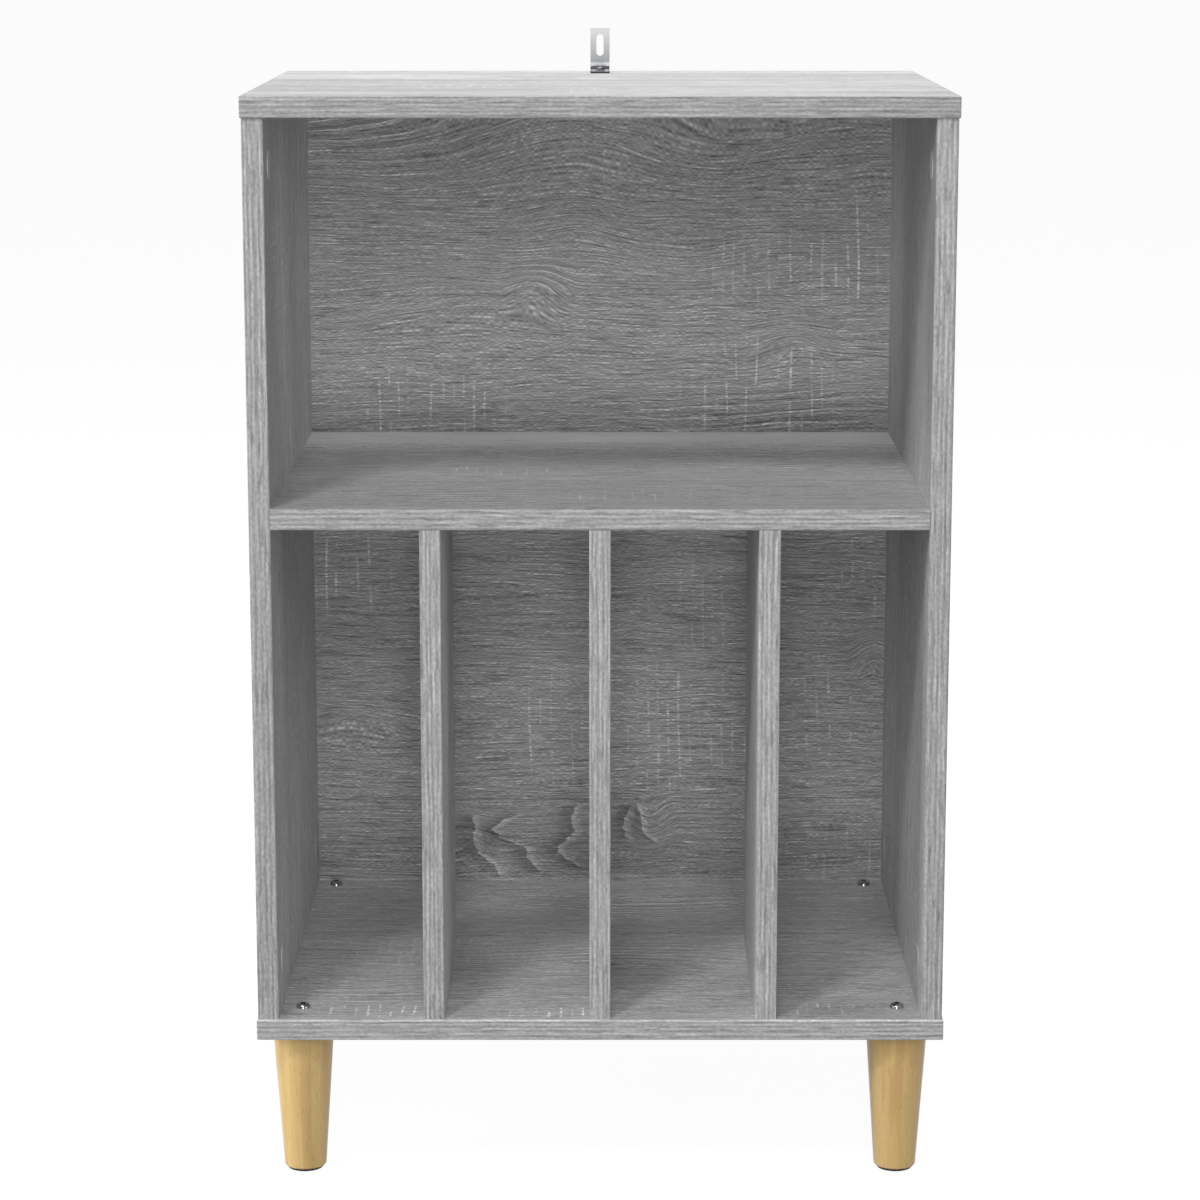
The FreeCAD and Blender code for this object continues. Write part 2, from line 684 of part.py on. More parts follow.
def make_cam_bolt():
    """A cam bolt, the board's face at its origin: thread below it, collar, shank, neck and head above."""
    bolt = new_body("cam_bolt", kept=False)
    thread, bevel = s.cam_bolt_thread_diameter / 2, s.cam_bolt_thread_chamfer
    collar, shank = s.cam_bolt_collar_diameter / 2, s.cam_bolt_shank_diameter / 2
    neck, head = s.cam_bolt_neck_diameter / 2, s.cam_bolt_head_diameter / 2
    length, slope = s.cam_bolt_thread_length, s.cam_bolt_head_chamfer
    head_end = s.cam_backset - s.cam_bolt_end_to_axis
    head_start = head_end - s.cam_bolt_head_length
    neck_start = s.cam_backset - s.cam_diameter / 2 - s.cam_bolt_end_gap
    step = s.cam_bolt_collar_height
    corners = [(0, -length), (thread - bevel, -length), (thread, bevel - length), (thread, 0)]
    corners += [(collar, 0), (collar, step), (shank, step), (shank, neck_start)]
    corners += [(neck, neck_start), (neck, head_start), (head, head_start + slope)]
    corners += [(head, head_end - slope), (head - slope, head_end), (0, head_end)]
    revolve(bolt, corners)
    return bolt


def make_cover():
    """The thin round cap over a cam bore, its back at the origin."""
    cover = new_body("cam_cover", kept=False)
    radius, thickness, bevel = s.cover_diameter / 2, s.cover_thickness, s.cover_bevel
    edge = thickness - bevel
    revolve(cover, [(0, 0), (radius, 0), (radius, edge), (radius - bevel, thickness), (0, thickness)])
    return cover


def make_dowel():
    """A dowel across a joint at its origin, the short stretch below in the drilled face."""
    dowel = new_body("dowel", kept=False)
    radius, bevel = s.dowel_diameter / 2, s.dowel_chamfer
    low, high = -s.dowel_face_depth, s.dowel_length - s.dowel_face_depth
    corners = [(0, low), (radius - bevel, low), (radius, low + bevel)]
    corners += [(radius, high - bevel), (radius - bevel, high), (0, high)]
    revolve(dowel, corners)
    return dowel


def cam_turn(facing, bolt_side):
    """The turn of a cam with its cross facing outwards and its locked slot on the bolt's side."""
    entrance_at = facing.multVec(FreeCAD.Vector(1, 0, 0))
    normal = facing.multVec(FreeCAD.Vector(0, 0, 1))
    across = normal.cross(entrance_at)
    angle = math.degrees(math.atan2(bolt_side.dot(across), bolt_side.dot(entrance_at)))
    return facing.multiply(FreeCAD.Rotation(FreeCAD.Vector(0, 0, 1), angle - cam_locked_angle))


def make_joinery():
    """Cams, cam bolts, covers and dowels of the carcass corners, the shelf and the dividers' tops."""
    cam, bolt, cover, dowel = make_cam(), make_cam_bolt(), make_cover(), make_dowel()
    up = FreeCAD.Rotation()
    down = FreeCAD.Rotation(FreeCAD.Vector(1, 0, 0), 180)
    right = FreeCAD.Rotation(FreeCAD.Vector(0, 1, 0), 90)
    left = FreeCAD.Rotation(FreeCAD.Vector(0, 1, 0), -90)
    locks, bolts, covers, dowels = [], [], [], []
    for side, inward in ((-1, right), (1, left)):
        for joint, away, heading in ((bottom_high, 1, up), (top_low, -1, down)):
            for y in cam_rows:
                z = joint + s.cam_backset * away
                locks.append((inner_side * side, y, z, cam_turn(inward, FreeCAD.Vector(0, 0, -away))))
                bolts.append((side_middle * side, y, joint, heading))
                covers.append((inner_side * side, y, z, inward))
            for y in dowel_rows:
                dowels.append((side_middle * side, y, joint, heading))
    group("carcass_cam_locks", cam, locks)
    group("carcass_cam_bolts", bolt, bolts)
    group("carcass_cam_covers", cover, covers)
    group("carcass_dowels", dowel, dowels)

    shelf_middle = shelf_low + s.board_thickness / 2
    locks, bolts, covers, dowels = [], [], [], []
    for side, inward in ((-1, right), (1, left)):
        for y in cam_rows:
            x = (inner_side - s.cam_backset) * side
            locks.append((x, y, shelf_low, cam_turn(down, FreeCAD.Vector(side, 0, 0))))
            bolts.append((inner_side * side, y, shelf_middle, inward))
            covers.append((x, y, shelf_low, down))
        for y in dowel_rows:
            dowels.append((inner_side * side, y, shelf_middle, inward))
    group("shelf_cam_locks", cam, locks)
    group("shelf_cam_bolts", bolt, bolts)
    group("shelf_cam_covers", cover, covers)
    group("shelf_dowels", dowel, dowels)

    places = [(x, y, shelf_low, down) for x in divider_middles for y in divider_rows]
    group("divider_dowels", dowel, places)


def make_divider_screws():
    """The countersunk screws up through the bottom board into the dividers, heads flush below."""
    screw = new_body("divider_screw", kept=False)
    head, shank = s.divider_screw_head_diameter / 2, s.divider_screw_diameter / 2
    length, tip = s.divider_screw_length, s.divider_screw_tip
    revolve(screw, [(0, 0), (head, 0), (shank, head - shank), (shank, length - tip), (0, length)])
    recess = new_sketch(screw, "XY_Plane", -s.cut_overrun)
    cross(recess, 0, 0, s.divider_screw_cross_length, s.divider_screw_cross_width)
    pocket(screw, recess, s.divider_screw_cross_depth + s.cut_overrun, along=True)
    places = [(x, y, bottom_low, FreeCAD.Rotation()) for x in divider_middles for y in divider_rows]
    group("divider_screws", screw, places)


def make_bracket():
    """The bent strip on the top board: a flange under one screw and an upright tab with a slot."""
    width, thickness, bend = s.bracket_width, s.bracket_thickness, s.bracket_bend
    body = new_body("wall_bracket", -width / 2, rear, top_high)
    strip = new_sketch(body, "YZ_Plane")
    flange, tab = -s.bracket_flange_length, s.bracket_tab_height
    corners = [(flange, 0), (0, 0, bend + thickness), (0, tab), (-thickness, tab)]
    corners += [(-thickness, thickness, bend), (flange, thickness)]
    outline(strip, corners)
    pad(body, strip, width)
    slot = new_sketch(body, "XZ_Plane", -s.cut_overrun)
    straight_slot(slot, width / 2, s.bracket_slot_height, s.bracket_slot_width, s.bracket_slot_length)
    pocket(body, slot, thickness + s.cut_overrun * 2, along=True)
    spot = [(width / 2, -s.bracket_screw_inset)]
    lift = thickness + s.cut_overrun
    drill(body, "XY_Plane", lift, spot, bracket_screw_bore, thickness + s.cut_overrun * 2)

    screw = new_body("bracket_screw", 0, bracket_screw_y, top_high + thickness)
    head, shank = s.bracket_screw_head_diameter / 2, s.bracket_screw_diameter / 2
    height, length, tip = s.bracket_screw_head_height, s.bracket_screw_length, s.bracket_screw_tip
    corners = [(0, -length), (shank, tip - length), (shank, 0), (head, 0)]
    revolve(screw, corners + [(head, height, s.bracket_screw_head_rounding), (0, height)])
    recess = new_sketch(screw, "XY_Plane", height)
    cross(recess, 0, 0, s.bracket_screw_cross_length, s.bracket_screw_cross_width)
    pocket(screw, recess, s.bracket_screw_cross_depth)


def make_boards():
    """All nine boards of the carcass."""
    make_top_board()
    make_bottom_board()
    make_side_panel("left_side_panel", -outer_side, s.board_thickness, False)
    make_side_panel("right_side_panel", inner_side, 0, True)
    make_shelf()
    for name, low in zip(("left", "middle", "right"), divider_lows):
        make_divider(f"{name}_divider", low)
    make_back_panel()


def make_bands():
    """The edge bands of the boards."""
    make_ring_band("top_edge_band", top_low)
    make_ring_band("bottom_edge_band", bottom_low)
    make_front_band("left_side_edge_band", -outer_side, bottom_high, s.board_thickness, side_height, True)
    make_front_band("right_side_edge_band", inner_side, bottom_high, s.board_thickness, side_height, True)
    make_front_band("shelf_edge_band", -inner_side, shelf_low, inner_width, s.board_thickness, False)
    for name, low in zip(("left", "middle", "right"), divider_lows):
        label = f"{name}_divider_edge_band"
        make_front_band(label, low, bottom_high, s.board_thickness, s.lower_bay_height, True)


def check_document():
    """Stops at an object that failed, a cut that took nothing away or a sub-part that isn't sound."""
    for thing in doc.Objects:
        if "Invalid" in thing.State or "Error" in thing.State:
            raise RuntimeError(f"{thing.Label} failed: {thing.State}")
        if thing.TypeId in ("PartDesign::Pocket", "PartDesign::Groove"):
            before, after = thing.BaseFeature.Shape.Volume, thing.Shape.Volume
            if after > before - closeness:
                raise RuntimeError(f"{thing.Label} cuts nothing")
    for part in subparts:
        if part.Shape.isNull() or not part.Shape.isValid():
            raise RuntimeError(f"{part.Label} has no sound shape")


make_boards()
make_bands()
make_legs()
make_leg_fasteners()
make_joinery()
make_divider_screws()
make_bracket()
doc.recompute()
check_document()

os.makedirs("parts", exist_ok=True)
for part in subparts:
    part.Shape.exportStep(f"parts/{part.Label}.step")
    print(part.Label, len(part.Shape.Solids), "solids,", round(part.Shape.Volume), "mm3")
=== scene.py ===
import math
import random

import bpy
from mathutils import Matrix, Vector


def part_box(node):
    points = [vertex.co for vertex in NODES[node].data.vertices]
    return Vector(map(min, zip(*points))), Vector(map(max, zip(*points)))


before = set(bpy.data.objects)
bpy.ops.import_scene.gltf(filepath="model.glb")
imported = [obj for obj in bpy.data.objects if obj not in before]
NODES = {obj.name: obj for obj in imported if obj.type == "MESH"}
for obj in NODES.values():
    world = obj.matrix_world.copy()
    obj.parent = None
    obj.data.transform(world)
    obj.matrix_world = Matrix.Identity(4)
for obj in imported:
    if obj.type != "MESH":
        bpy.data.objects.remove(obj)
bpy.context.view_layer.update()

X, Y, Z = 0, 1, 2

# The photograph's viewpoint, in metres and degrees, and how far its lens reaches
CAMERA_PLACE = Vector((0.0, -2.590, 0.897))
CAMERA_PITCH = 11.12
SENSOR_WIDTH = 36.0
LENS = 105.4

# Brightness of the glowing floor and background, and of the room's own light
PALE_LEVEL = 0.95
ROOM_LEVEL = 0.10

# How the picture is toned: a little softer than plain, as product shots are
VIEW_GAMMA = 1.25

# Reflectance of the grey oak print on the boards, the dividers and the edge bands
BOARD_GREY = 0.40
# The dividers carry the same print as the boards; their higher grey is painted light on their
# faces
DIVIDER_GREY_PAINTED_LIGHT = 0.60
BAND_GREY = 0.295

# Depth of the print on a board, in metres, below which the raw core shows
PRINT_SKIN = 0.0002

# How strongly the print's lines stand out of a board, and how high, in metres
OAK_BUMP = (0.35, 0.0004)

# Spacing of the print's fine lines, of the edge bands' lines and of the saw marks, in metres
FIBRE_PITCH = 0.0026
BAND_PITCH = 0.0035
SAW_PITCH = 0.0086

# Noise layers of the oak print and of the edge bands: waves per metre along and across the
# grain, an offset that tells the layers apart, and detail
OAK_LAYERS = {
    "drift": ((12.0, 70.0), (6.1, 0.9, 5.3), 1.0),
    "fibre": ((330.0, 460.0), (0.0, 0.0, 0.0), 0.0),
    "thread": ((34.0, 340.0), (2.7, 5.1, 6.3), 1.0),
    "strand": ((17.0, 800.0), (3.1, 7.7, 1.3), 1.0),
    "band": ((1.8, 30.0), (5.3, 1.9, 4.1), 2.0),
    "pore": ((46.0, 760.0), (9.7, 2.3, 8.9), 0.0),
    "crack": ((5.0, 120.0), (4.7, 6.1, 2.9), 0.0),
    "crack_gate": ((24.0, 90.0), (1.1, 3.9, 7.3), 0.0),
}
BAND_LAYERS = {
    "sway": ((6.0, 120.0), (0.0, 0.0, 0.0), 1.0),
    "body": ((40.0, 300.0), (3.7, 2.9, 1.7), 1.0),
    "fibre": ((330.0, 650.0), (5.3, 6.7, 0.9), 0.0),
    "streak": ((60.0, 700.0), (2.1, 0.7, 3.3), 0.0),
    "slow": ((6.0, 150.0), (7.3, 4.9, 6.1), 1.0),
    "dash": ((60.0, 520.0), (1.9, 8.3, 5.7), 0.0),
}

# Noise levels between which the pores, the cracks' gates and the bands' dashes fade in
PORE_FADE = (0.62, 0.74)
CRACK_FADE = (0.50, 0.58)
CRACK_BAND_FADE = (0.42, 0.56)
DASH_FADE = (0.60, 0.74)
CRACK_WIDTH = 0.038

# How far each part of the print moves the tone, in doublings
OAK_SWINGS = {
    "fibre": 3.0,
    "thread": 3.7,
    "strand": 1.0,
    "band": 0.36,
    "pore": -0.65,
    "crack": -0.6,
}
BAND_SWINGS = {
    "body": 1.2,
    "fibre": 1.0,
    "streak": 1.0,
    "slow": 0.5,
    "dash": -0.50,
}

# Tones in doublings too: an edge band's level, its lines and the painted highlight along its
# upper edge, the joint between two planks, the difference from plank to plank, and the two sides
# of a knot's ridge
BAND_LEVEL = 0.06
BAND_LINE = 0.29
PAINTED_EDGE_HIGHLIGHT = 0.50
JOINT_TONE = -0.45
PLANK_TONE = 0.34
RIDGE_TONE = 0.75

# Colours of the materials; a pair runs from dark to light
CHIP_COLOURS = ((0.20, 0.125, 0.065, 1.0), (0.56, 0.42, 0.27, 1.0))
HARDBOARD_COLOURS = ((0.17, 0.115, 0.07, 1.0), (0.42, 0.31, 0.205, 1.0))
LEG_COLOURS = ((0.67, 0.402, 0.122, 1.0), (0.85, 0.552, 0.195, 1.0))
LEG_HEART = (0.55, 0.290, 0.086, 1.0)
LEG_FLECK = (0.34, 0.19, 0.060, 1.0)
DOWEL_COLOURS = ((0.48, 0.30, 0.15, 1.0), (0.70, 0.50, 0.28, 1.0))
FELT_COLOURS = ((0.003, 0.003, 0.004, 1.0), (0.022, 0.021, 0.020, 1.0))
COVER_COLOUR = (0.50, 0.50, 0.50)
# The bracket's dark is painted shade, its bend colour a painted highlight, and its tab pair
# painted shading from a dark foot to a lighter top
BRACKET_PAINTED_SHADE = (0.045, 0.046, 0.050, 1.0)
BRACKET_BEND_HIGHLIGHT = (0.98, 0.98, 0.99, 1.0)
BRACKET_FLANGE = (0.66, 0.665, 0.68, 1.0)
BRACKET_TAB_PAINTED_SHADING = ((0.38, 0.385, 0.40, 1.0), (0.62, 0.625, 0.64, 1.0))

# Plated metals: tone, roughness, mottle, waves of the mottle per metre, and bump strength
METALS = {
    "bolt_chrome": ((0.46, 0.465, 0.48), 0.13, 0.18, 260.0, 0.05),
    "steel_bright": ((0.56, 0.56, 0.57), 0.32, 0.24, 380.0, 0.05),
    "zinc_cast": ((0.52, 0.53, 0.55), 0.46, 0.30, 520.0, 0.2),
    # The bracket screw's zinc is darkened to paint the shade on its head
    "screw_zinc_painted_shade": ((0.12, 0.125, 0.135), 0.22, 0.20, 260.0, 0.05),
}
METAL_NODES = {
    "bolt_chrome": ("leg_bolts",),
    "steel_bright": ("carcass_cam_bolts", "shelf_cam_bolts", "divider_screws"),
    "zinc_cast": ("carcass_cam_locks", "shelf_cam_locks", "leg_inserts"),
    "screw_zinc_painted_shade": ("bracket_screw",),
}

# Seed of each board's own layout of the print
BOARD_SEEDS = {
    "back_panel": 11.0,
    "top_board": 21.0,
    "bottom_board": 31.0,
    "middle_shelf": 41.0,
    "left_side_panel": 51.0,
    "right_side_panel": 61.0,
    "left_divider": 71.0,
    "middle_divider": 81.0,
    "right_divider": 91.0,
}

# Edge bands: node, axis of the grain, seed, and grey as a share of BAND_GREY
EDGE_BANDS = (
    ("top_edge_band", X, 3.0, 0.93),
    ("bottom_edge_band", X, 4.0, 1.18),
    ("shelf_edge_band", X, 5.0, 1.06),
    ("left_side_edge_band", Z, 13.0, 1.03),
    ("right_side_edge_band", Z, 14.0, 1.08),
    ("left_divider_edge_band", Z, 15.0, 1.10),
    ("middle_divider_edge_band", Z, 16.0, 1.13),
    ("right_divider_edge_band", Z, 17.0, 1.18),
)

# Soft lights: name, azimuth, elevation, size in metres, power in watts, and height of their aim
LIGHT_DISTANCE = 3.2
LIGHTS = (
    ("key_left", -25.0, 50.0, 0.45, 27.7, 0.45),
    ("front_high", 0.0, 50.0, 1.0, 13.9, 0.45),
    ("front_middle", 0.0, 28.0, 0.8, 14.8, 0.45),
    ("front_low", 0.0, 2.0, 0.5, 12.4, 0.3),
    ("low_left", -45.0, 10.0, 1.0, 2.6, 0.45),
    ("low_right", 45.0, 10.0, 1.0, 6.8, 0.45),
    ("side_left", -75.0, 20.0, 1.2, 34.0, 0.45),
    ("leg_left", -88.0, 2.0, 0.3, 40.0, 0.05),
    ("top_back", 180.0, 70.0, 1.5, 112.0, 0.6),
)


class Graph:
    """Adds shader nodes to one node tree. Each call gives back the new node's output socket."""

    def __init__(self, tree):
        self.tree = tree

    def feed(self, socket, value):
        if isinstance(value, bpy.types.NodeSocket):
            self.tree.links.new(value, socket)
        else:
            socket.default_value = value

    def add(self, kind, inputs, output=0, **settings):
        node = self.tree.nodes.new(kind)
        for name, value in settings.items():
            setattr(node, name, value)
        for key, value in inputs.items():
            self.feed(node.inputs[key], value)
        return node.outputs[output]

    def math(self, operation, first, second=0.0, third=0.0):
        inputs = {0: first, 1: second, 2: third}
        return self.add("ShaderNodeMath", inputs, operation=operation)

    def sum(self, *terms):
        total = terms[0]
        for term in terms[1:]:
            total = self.math("ADD", total, term)
        return total

    def product(self, *factors):
        total = factors[0]
        for factor in factors[1:]:
            total = self.math("MULTIPLY", total, factor)
        return total

    def about_half(self, value, strength):
        """A value that lies about 0.5, as a swing about zero of that strength."""
        return self.math("MULTIPLY_ADD", value, strength, -0.5 * strength)

    def vector(self, x=0.0, y=0.0, z=0.0):
        return self.add("ShaderNodeCombineXYZ", {0: x, 1: y, 2: z})

    def stretched(self, vector, scale, offset=(0.0, 0.0, 0.0)):
        inputs = {0: vector, 1: scale, 2: offset}
        return self.add("ShaderNodeVectorMath", inputs, operation="MULTIPLY_ADD")

    def noise(self, vector, detail=2.0, roughness=0.5, scale=1.0):
        inputs = {"Vector": vector, "Scale": scale, "Detail": detail, "Roughness": roughness}
        return self.add("ShaderNodeTexNoise", inputs)

    def ramp(self, value, low, high, start=0.0, end=1.0, shape="SMOOTHSTEP"):
        """start below low, end above high, and smooth between them."""
        inputs = {0: value, 1: low, 2: high, 3: start, 4: end}
        return self.add("ShaderNodeMapRange", inputs, interpolation_type=shape)

    def blob(self, vector, centre, radii, core=0.0):
        """1 in the core of an ellipse and 0 outside it; a radius of 0 reaches for ever."""
        scale = [1.0 / radius if radius else 0.0 for radius in radii]
        offset = [-place * factor for place, factor in zip(centre, scale)]
        inputs = {0: self.stretched(vector, scale, offset)}
        length = self.add("ShaderNodeVectorMath", inputs, output=1, operation="LENGTH")
        return self.ramp(length, 1.0, core)

    def patches(self, flat, rows, core=0.0):
        """The blob and the strength of each row of a patch table."""
        for along, across, radius_along, radius_across, strength in rows:
            centre = (along, across, 0.0)
            radii = (radius_along, radius_across, 0.0)
            yield self.blob(flat, centre, radii, core), strength

    def layers(self, place, table):
        """The noise of each row of a layer table, by name."""
        noises = {}
        for name, (scale, offset, detail) in table.items():
            noises[name] = self.noise(self.stretched(place, (*scale, 1.0), offset), detail)
        return noises

    def mix(self, factor, first, second):
        inputs = {0: factor, 6: first, 7: second}
        return self.add("ShaderNodeMix", inputs, output=2, data_type="RGBA")

    def tinted(self, colour, shade):
        """A colour made lighter or darker by a number."""
        inputs = {0: colour, 1: self.vector(shade, shade, shade)}
        return self.add("ShaderNodeVectorMath", inputs, operation="MULTIPLY")

    def bump(self, height, strength, distance):
        inputs = {"Height": height, "Strength": strength, "Distance": distance}
        return self.add("ShaderNodeBump", inputs)


def new_material(name, **constants):
    """A material, its graph and its shader, with constants set on the shader's own sockets."""
    material = bpy.data.materials.new(name)
    material.use_nodes = True
    shader = material.node_tree.nodes["Principled BSDF"]
    for socket, value in constants.items():
        shader.inputs[socket.replace("_", " ")].default_value = value
    return material, Graph(material.node_tree), shader


def new_group(name, inputs, outputs):
    """An empty node group with number inputs and outputs, and its graph."""
    tree = bpy.data.node_groups.new(name, "ShaderNodeTree")
    for label in inputs:
        tree.interface.new_socket(label, in_out="INPUT", socket_type="NodeSocketFloat")
    for label in outputs:
        tree.interface.new_socket(label, in_out="OUTPUT", socket_type="NodeSocketFloat")
    source = tree.nodes.new("NodeGroupInput")
    target = tree.nodes.new("NodeGroupOutput")
    return tree, Graph(tree), source.outputs, target.inputs


def use_group(graph, tree, inputs):
    """Puts a node group in a graph and gives back its outputs by name."""
    node = graph.tree.nodes.new("ShaderNodeGroup")
    node.node_tree = tree
    for label, value in inputs.items():
        graph.feed(node.inputs[label], value)
    return node.outputs


def object_axes(graph):
    """The piece's own coordinates, in metres: the vector and its three numbers."""
    place = graph.add("ShaderNodeTexCoord", {}, output="Object")
    split = graph.tree.nodes.new("ShaderNodeSeparateXYZ")
    graph.tree.links.new(place, split.inputs[0])
    return place, list(split.outputs)


def make_fibre_group():
    """Grey oak print: fine fibres, strands, tone bands, short dark pores and thin dark cracks.

    Along runs with the grain, Field across it, and Seed tells the boards apart. Swing is how far
    the print goes up or down in tone, in doublings.
    """
    tree, graph, given, wanted = new_group(
        "oak_fibres", ("Along", "Field", "Seed"), ("Swing", "Height"))
    place = graph.vector(given["Along"], given["Field"], given["Seed"])
    layer = graph.layers(place, OAK_LAYERS)
    turn = graph.sum(graph.product(given["Field"], 2.0 * math.pi / FIBRE_PITCH),
                     graph.about_half(layer["drift"], 16.0))
    comb = graph.math("SINE", turn)
    pore = graph.ramp(layer["pore"], *PORE_FADE)
    crack_swing = graph.math("ABSOLUTE", graph.math("SUBTRACT", layer["crack"], 0.5))
    crack_gate = graph.product(graph.ramp(layer["crack_gate"], *CRACK_FADE),
                               graph.ramp(layer["band"], *CRACK_BAND_FADE))
    crack = graph.product(graph.ramp(crack_swing, CRACK_WIDTH, 0.0), crack_gate)
    strand = layer["strand"]
    broken = graph.sum(graph.about_half(layer["fibre"], OAK_SWINGS["fibre"]),
                       graph.about_half(layer["thread"], OAK_SWINGS["thread"]))
    swing = graph.sum(
        graph.product(comb, broken),
        graph.about_half(strand, OAK_SWINGS["strand"]),
        graph.about_half(layer["band"], OAK_SWINGS["band"]),
        graph.product(pore, OAK_SWINGS["pore"]),
        graph.product(crack, OAK_SWINGS["crack"]))
    graph.feed(wanted["Swing"], swing)
    height = graph.sum(graph.about_half(strand, 1.0), graph.product(pore, -0.6),
                       graph.product(crack, -0.8))
    graph.feed(wanted["Height"], height)
    return tree


def make_saw_group():
    """Light marks of a saw across the grain: a loose comb of thin broken lines."""
    tree, graph, given, wanted = new_group("saw_marks", ("Along", "Across", "Seed"), ("Mark",))
    sway = graph.noise(graph.vector(graph.product(given["Along"], 30.0),
                                    graph.product(given["Across"], 9.0), given["Seed"]), 0.0)
    tooth = graph.sum(graph.math("DIVIDE", given["Along"], SAW_PITCH),
                      graph.about_half(sway, 1.1))
    number = graph.math("FLOOR", tooth)
    off_line = graph.math("ABSOLUTE", graph.math("SUBTRACT", graph.math("FRACT", tooth), 0.5))
    reach = graph.noise(graph.vector(graph.product(number, 5.37),
                                     graph.product(given["Across"], 36.0), given["Seed"]), 1.0)
    broken = graph.noise(graph.vector(graph.product(number, 3.1),
                                      graph.product(given["Across"], 420.0), given["Seed"]), 0.0)
    brightness = graph.noise(graph.vector(graph.product(number, 2.37), given["Seed"], 0.5), 0.0)
    mark = graph.product(
        graph.ramp(off_line, 0.15, 0.04),
        graph.ramp(reach, 0.44, 0.56),
        graph.ramp(broken, 0.36, 0.62, 0.25, 1.0),
        graph.ramp(brightness, 0.25, 0.75, 0.35, 1.0))
    graph.feed(wanted["Mark"], mark)
    return tree


def make_chipboard_group():
    """The raw core of a board, as its cut edges and bores show it: pressed chips of many tones."""
    tree = bpy.data.node_groups.new("chipboard_core", "ShaderNodeTree")
    tree.interface.new_socket("Vector", in_out="INPUT", socket_type="NodeSocketVector")
    tree.interface.new_socket("Color", in_out="OUTPUT", socket_type="NodeSocketColor")
    source = tree.nodes.new("NodeGroupInput").outputs
    target = tree.nodes.new("NodeGroupOutput").inputs
    graph = Graph(tree)
    wobble = graph.noise(source["Vector"], 2.0, scale=300.0)
    shift = {0: source["Vector"], 1: graph.product(wobble, 0.002)}
    moved = graph.add("ShaderNodeVectorMath", shift, operation="ADD")
    chips = graph.add("ShaderNodeTexVoronoi", {"Vector": moved, "Scale": 620.0}, output="Color")
    tone = graph.add("ShaderNodeSeparateXYZ", {0: chips})
    dust = graph.noise(source["Vector"], 2.0, scale=1500.0)
    level = graph.sum(graph.product(tone, 0.6), graph.product(dust, 0.4))
    colour = graph.mix(level, *CHIP_COLOURS)
    graph.feed(target["Color"], colour)
    return tree


OAK_FIBRES = make_fibre_group()
SAW_MARKS = make_saw_group()
CHIPBOARD = make_chipboard_group()


def oak_figure(graph, along, across, seed, seams=(), swells=(), saw_patches=(), tones=(),
               rings=(), ridges=(), streaks=0.0):
    """Shade and height of the oak print on one board.

    seams are (place across, slope) of the joints between the printed planks. swells, saw_patches,
    tones and rings are (centre along, centre across, radius along, radius across, strength): a
    swell lifts the grain lines by that many metres, a saw patch is a stretch of saw marks, a tone
    makes the wood lighter or darker, as the print's own tone in some tables and as painted light
    and shade in others, and a ring patch shows the growth rings. A radius of 0 reaches for ever.
    ridges are jagged lines down a knot, each a list of (across, along), and streaks is the
    strength of long soft streaks.
    """
    flat = graph.vector(along, across)
    plank = 0.0
    joint = 0.0
    for place, slope in seams:
        above = graph.math("SUBTRACT", across, graph.math("MULTIPLY_ADD", along, slope, place))
        plank = graph.sum(plank, graph.math("GREATER_THAN", above, 0.0))
        near = graph.ramp(graph.math("ABSOLUTE", above), 0.0011, 0.0003)
        joint = graph.sum(joint, near)
    own_seed = graph.math("MULTIPLY_ADD", plank, 13.7, seed)
    drift = graph.noise(
        graph.vector(graph.product(along, 2.2), graph.product(across, 7.0), own_seed))
    ripple = graph.noise(
        graph.vector(graph.product(along, 16.0), graph.product(across, 34.0), own_seed))
    terms = [across, graph.about_half(drift, 0.040), graph.about_half(ripple, 0.004)]
    for lift, rise in graph.patches(flat, swells):
        terms.append(graph.product(lift, -rise))
    field = graph.sum(*terms)
    fibres = use_group(graph, OAK_FIBRES, {"Along": along, "Field": field, "Seed": own_seed})
    plank_tone = graph.add("ShaderNodeTexWhiteNoise", {"W": own_seed}, noise_dimensions="1D")
    swing = graph.sum(fibres["Swing"], graph.product(joint, JOINT_TONE),
                      graph.about_half(plank_tone, PLANK_TONE))
    if streaks:
        long_noise = graph.noise(
            graph.vector(graph.product(along, 1.6), graph.product(across, 27.0), seed), 1.0)
        swing = graph.math("ADD", swing, graph.about_half(long_noise, streaks))
    # Tones: the print's own, and painted light and shade where a table gives them
    for spot, strength in graph.patches(flat, tones):
        swing = graph.math("ADD", swing, graph.product(spot, strength))
    if rings:
        turn = graph.math(
            "FRACT", graph.sum(graph.product(field, 118.0), graph.product(ripple, 0.5)))
        fade = graph.sum(graph.about_half(turn, 1.0),
                         graph.product(graph.ramp(turn, 0.82, 0.95), 0.8))
        for spot, strength in graph.patches(flat, rings):
            swing = graph.math("ADD", swing, graph.product(fade, spot, strength))
    for ridge in ridges:
        swing = graph.math("ADD", swing, knot_ridge(graph, along, across, ripple, ridge))
    if saw_patches:
        marks = use_group(graph, SAW_MARKS, {"Along": along, "Across": across, "Seed": seed})
        patch = 0.0
        for spot, strength in graph.patches(flat, saw_patches, 0.6):
            patch = graph.sum(patch, graph.product(spot, strength))
        swing = graph.math("ADD", swing, graph.product(marks["Mark"], patch))
    shade = graph.math("POWER", 2.0, swing)
    return shade, fibres["Height"]


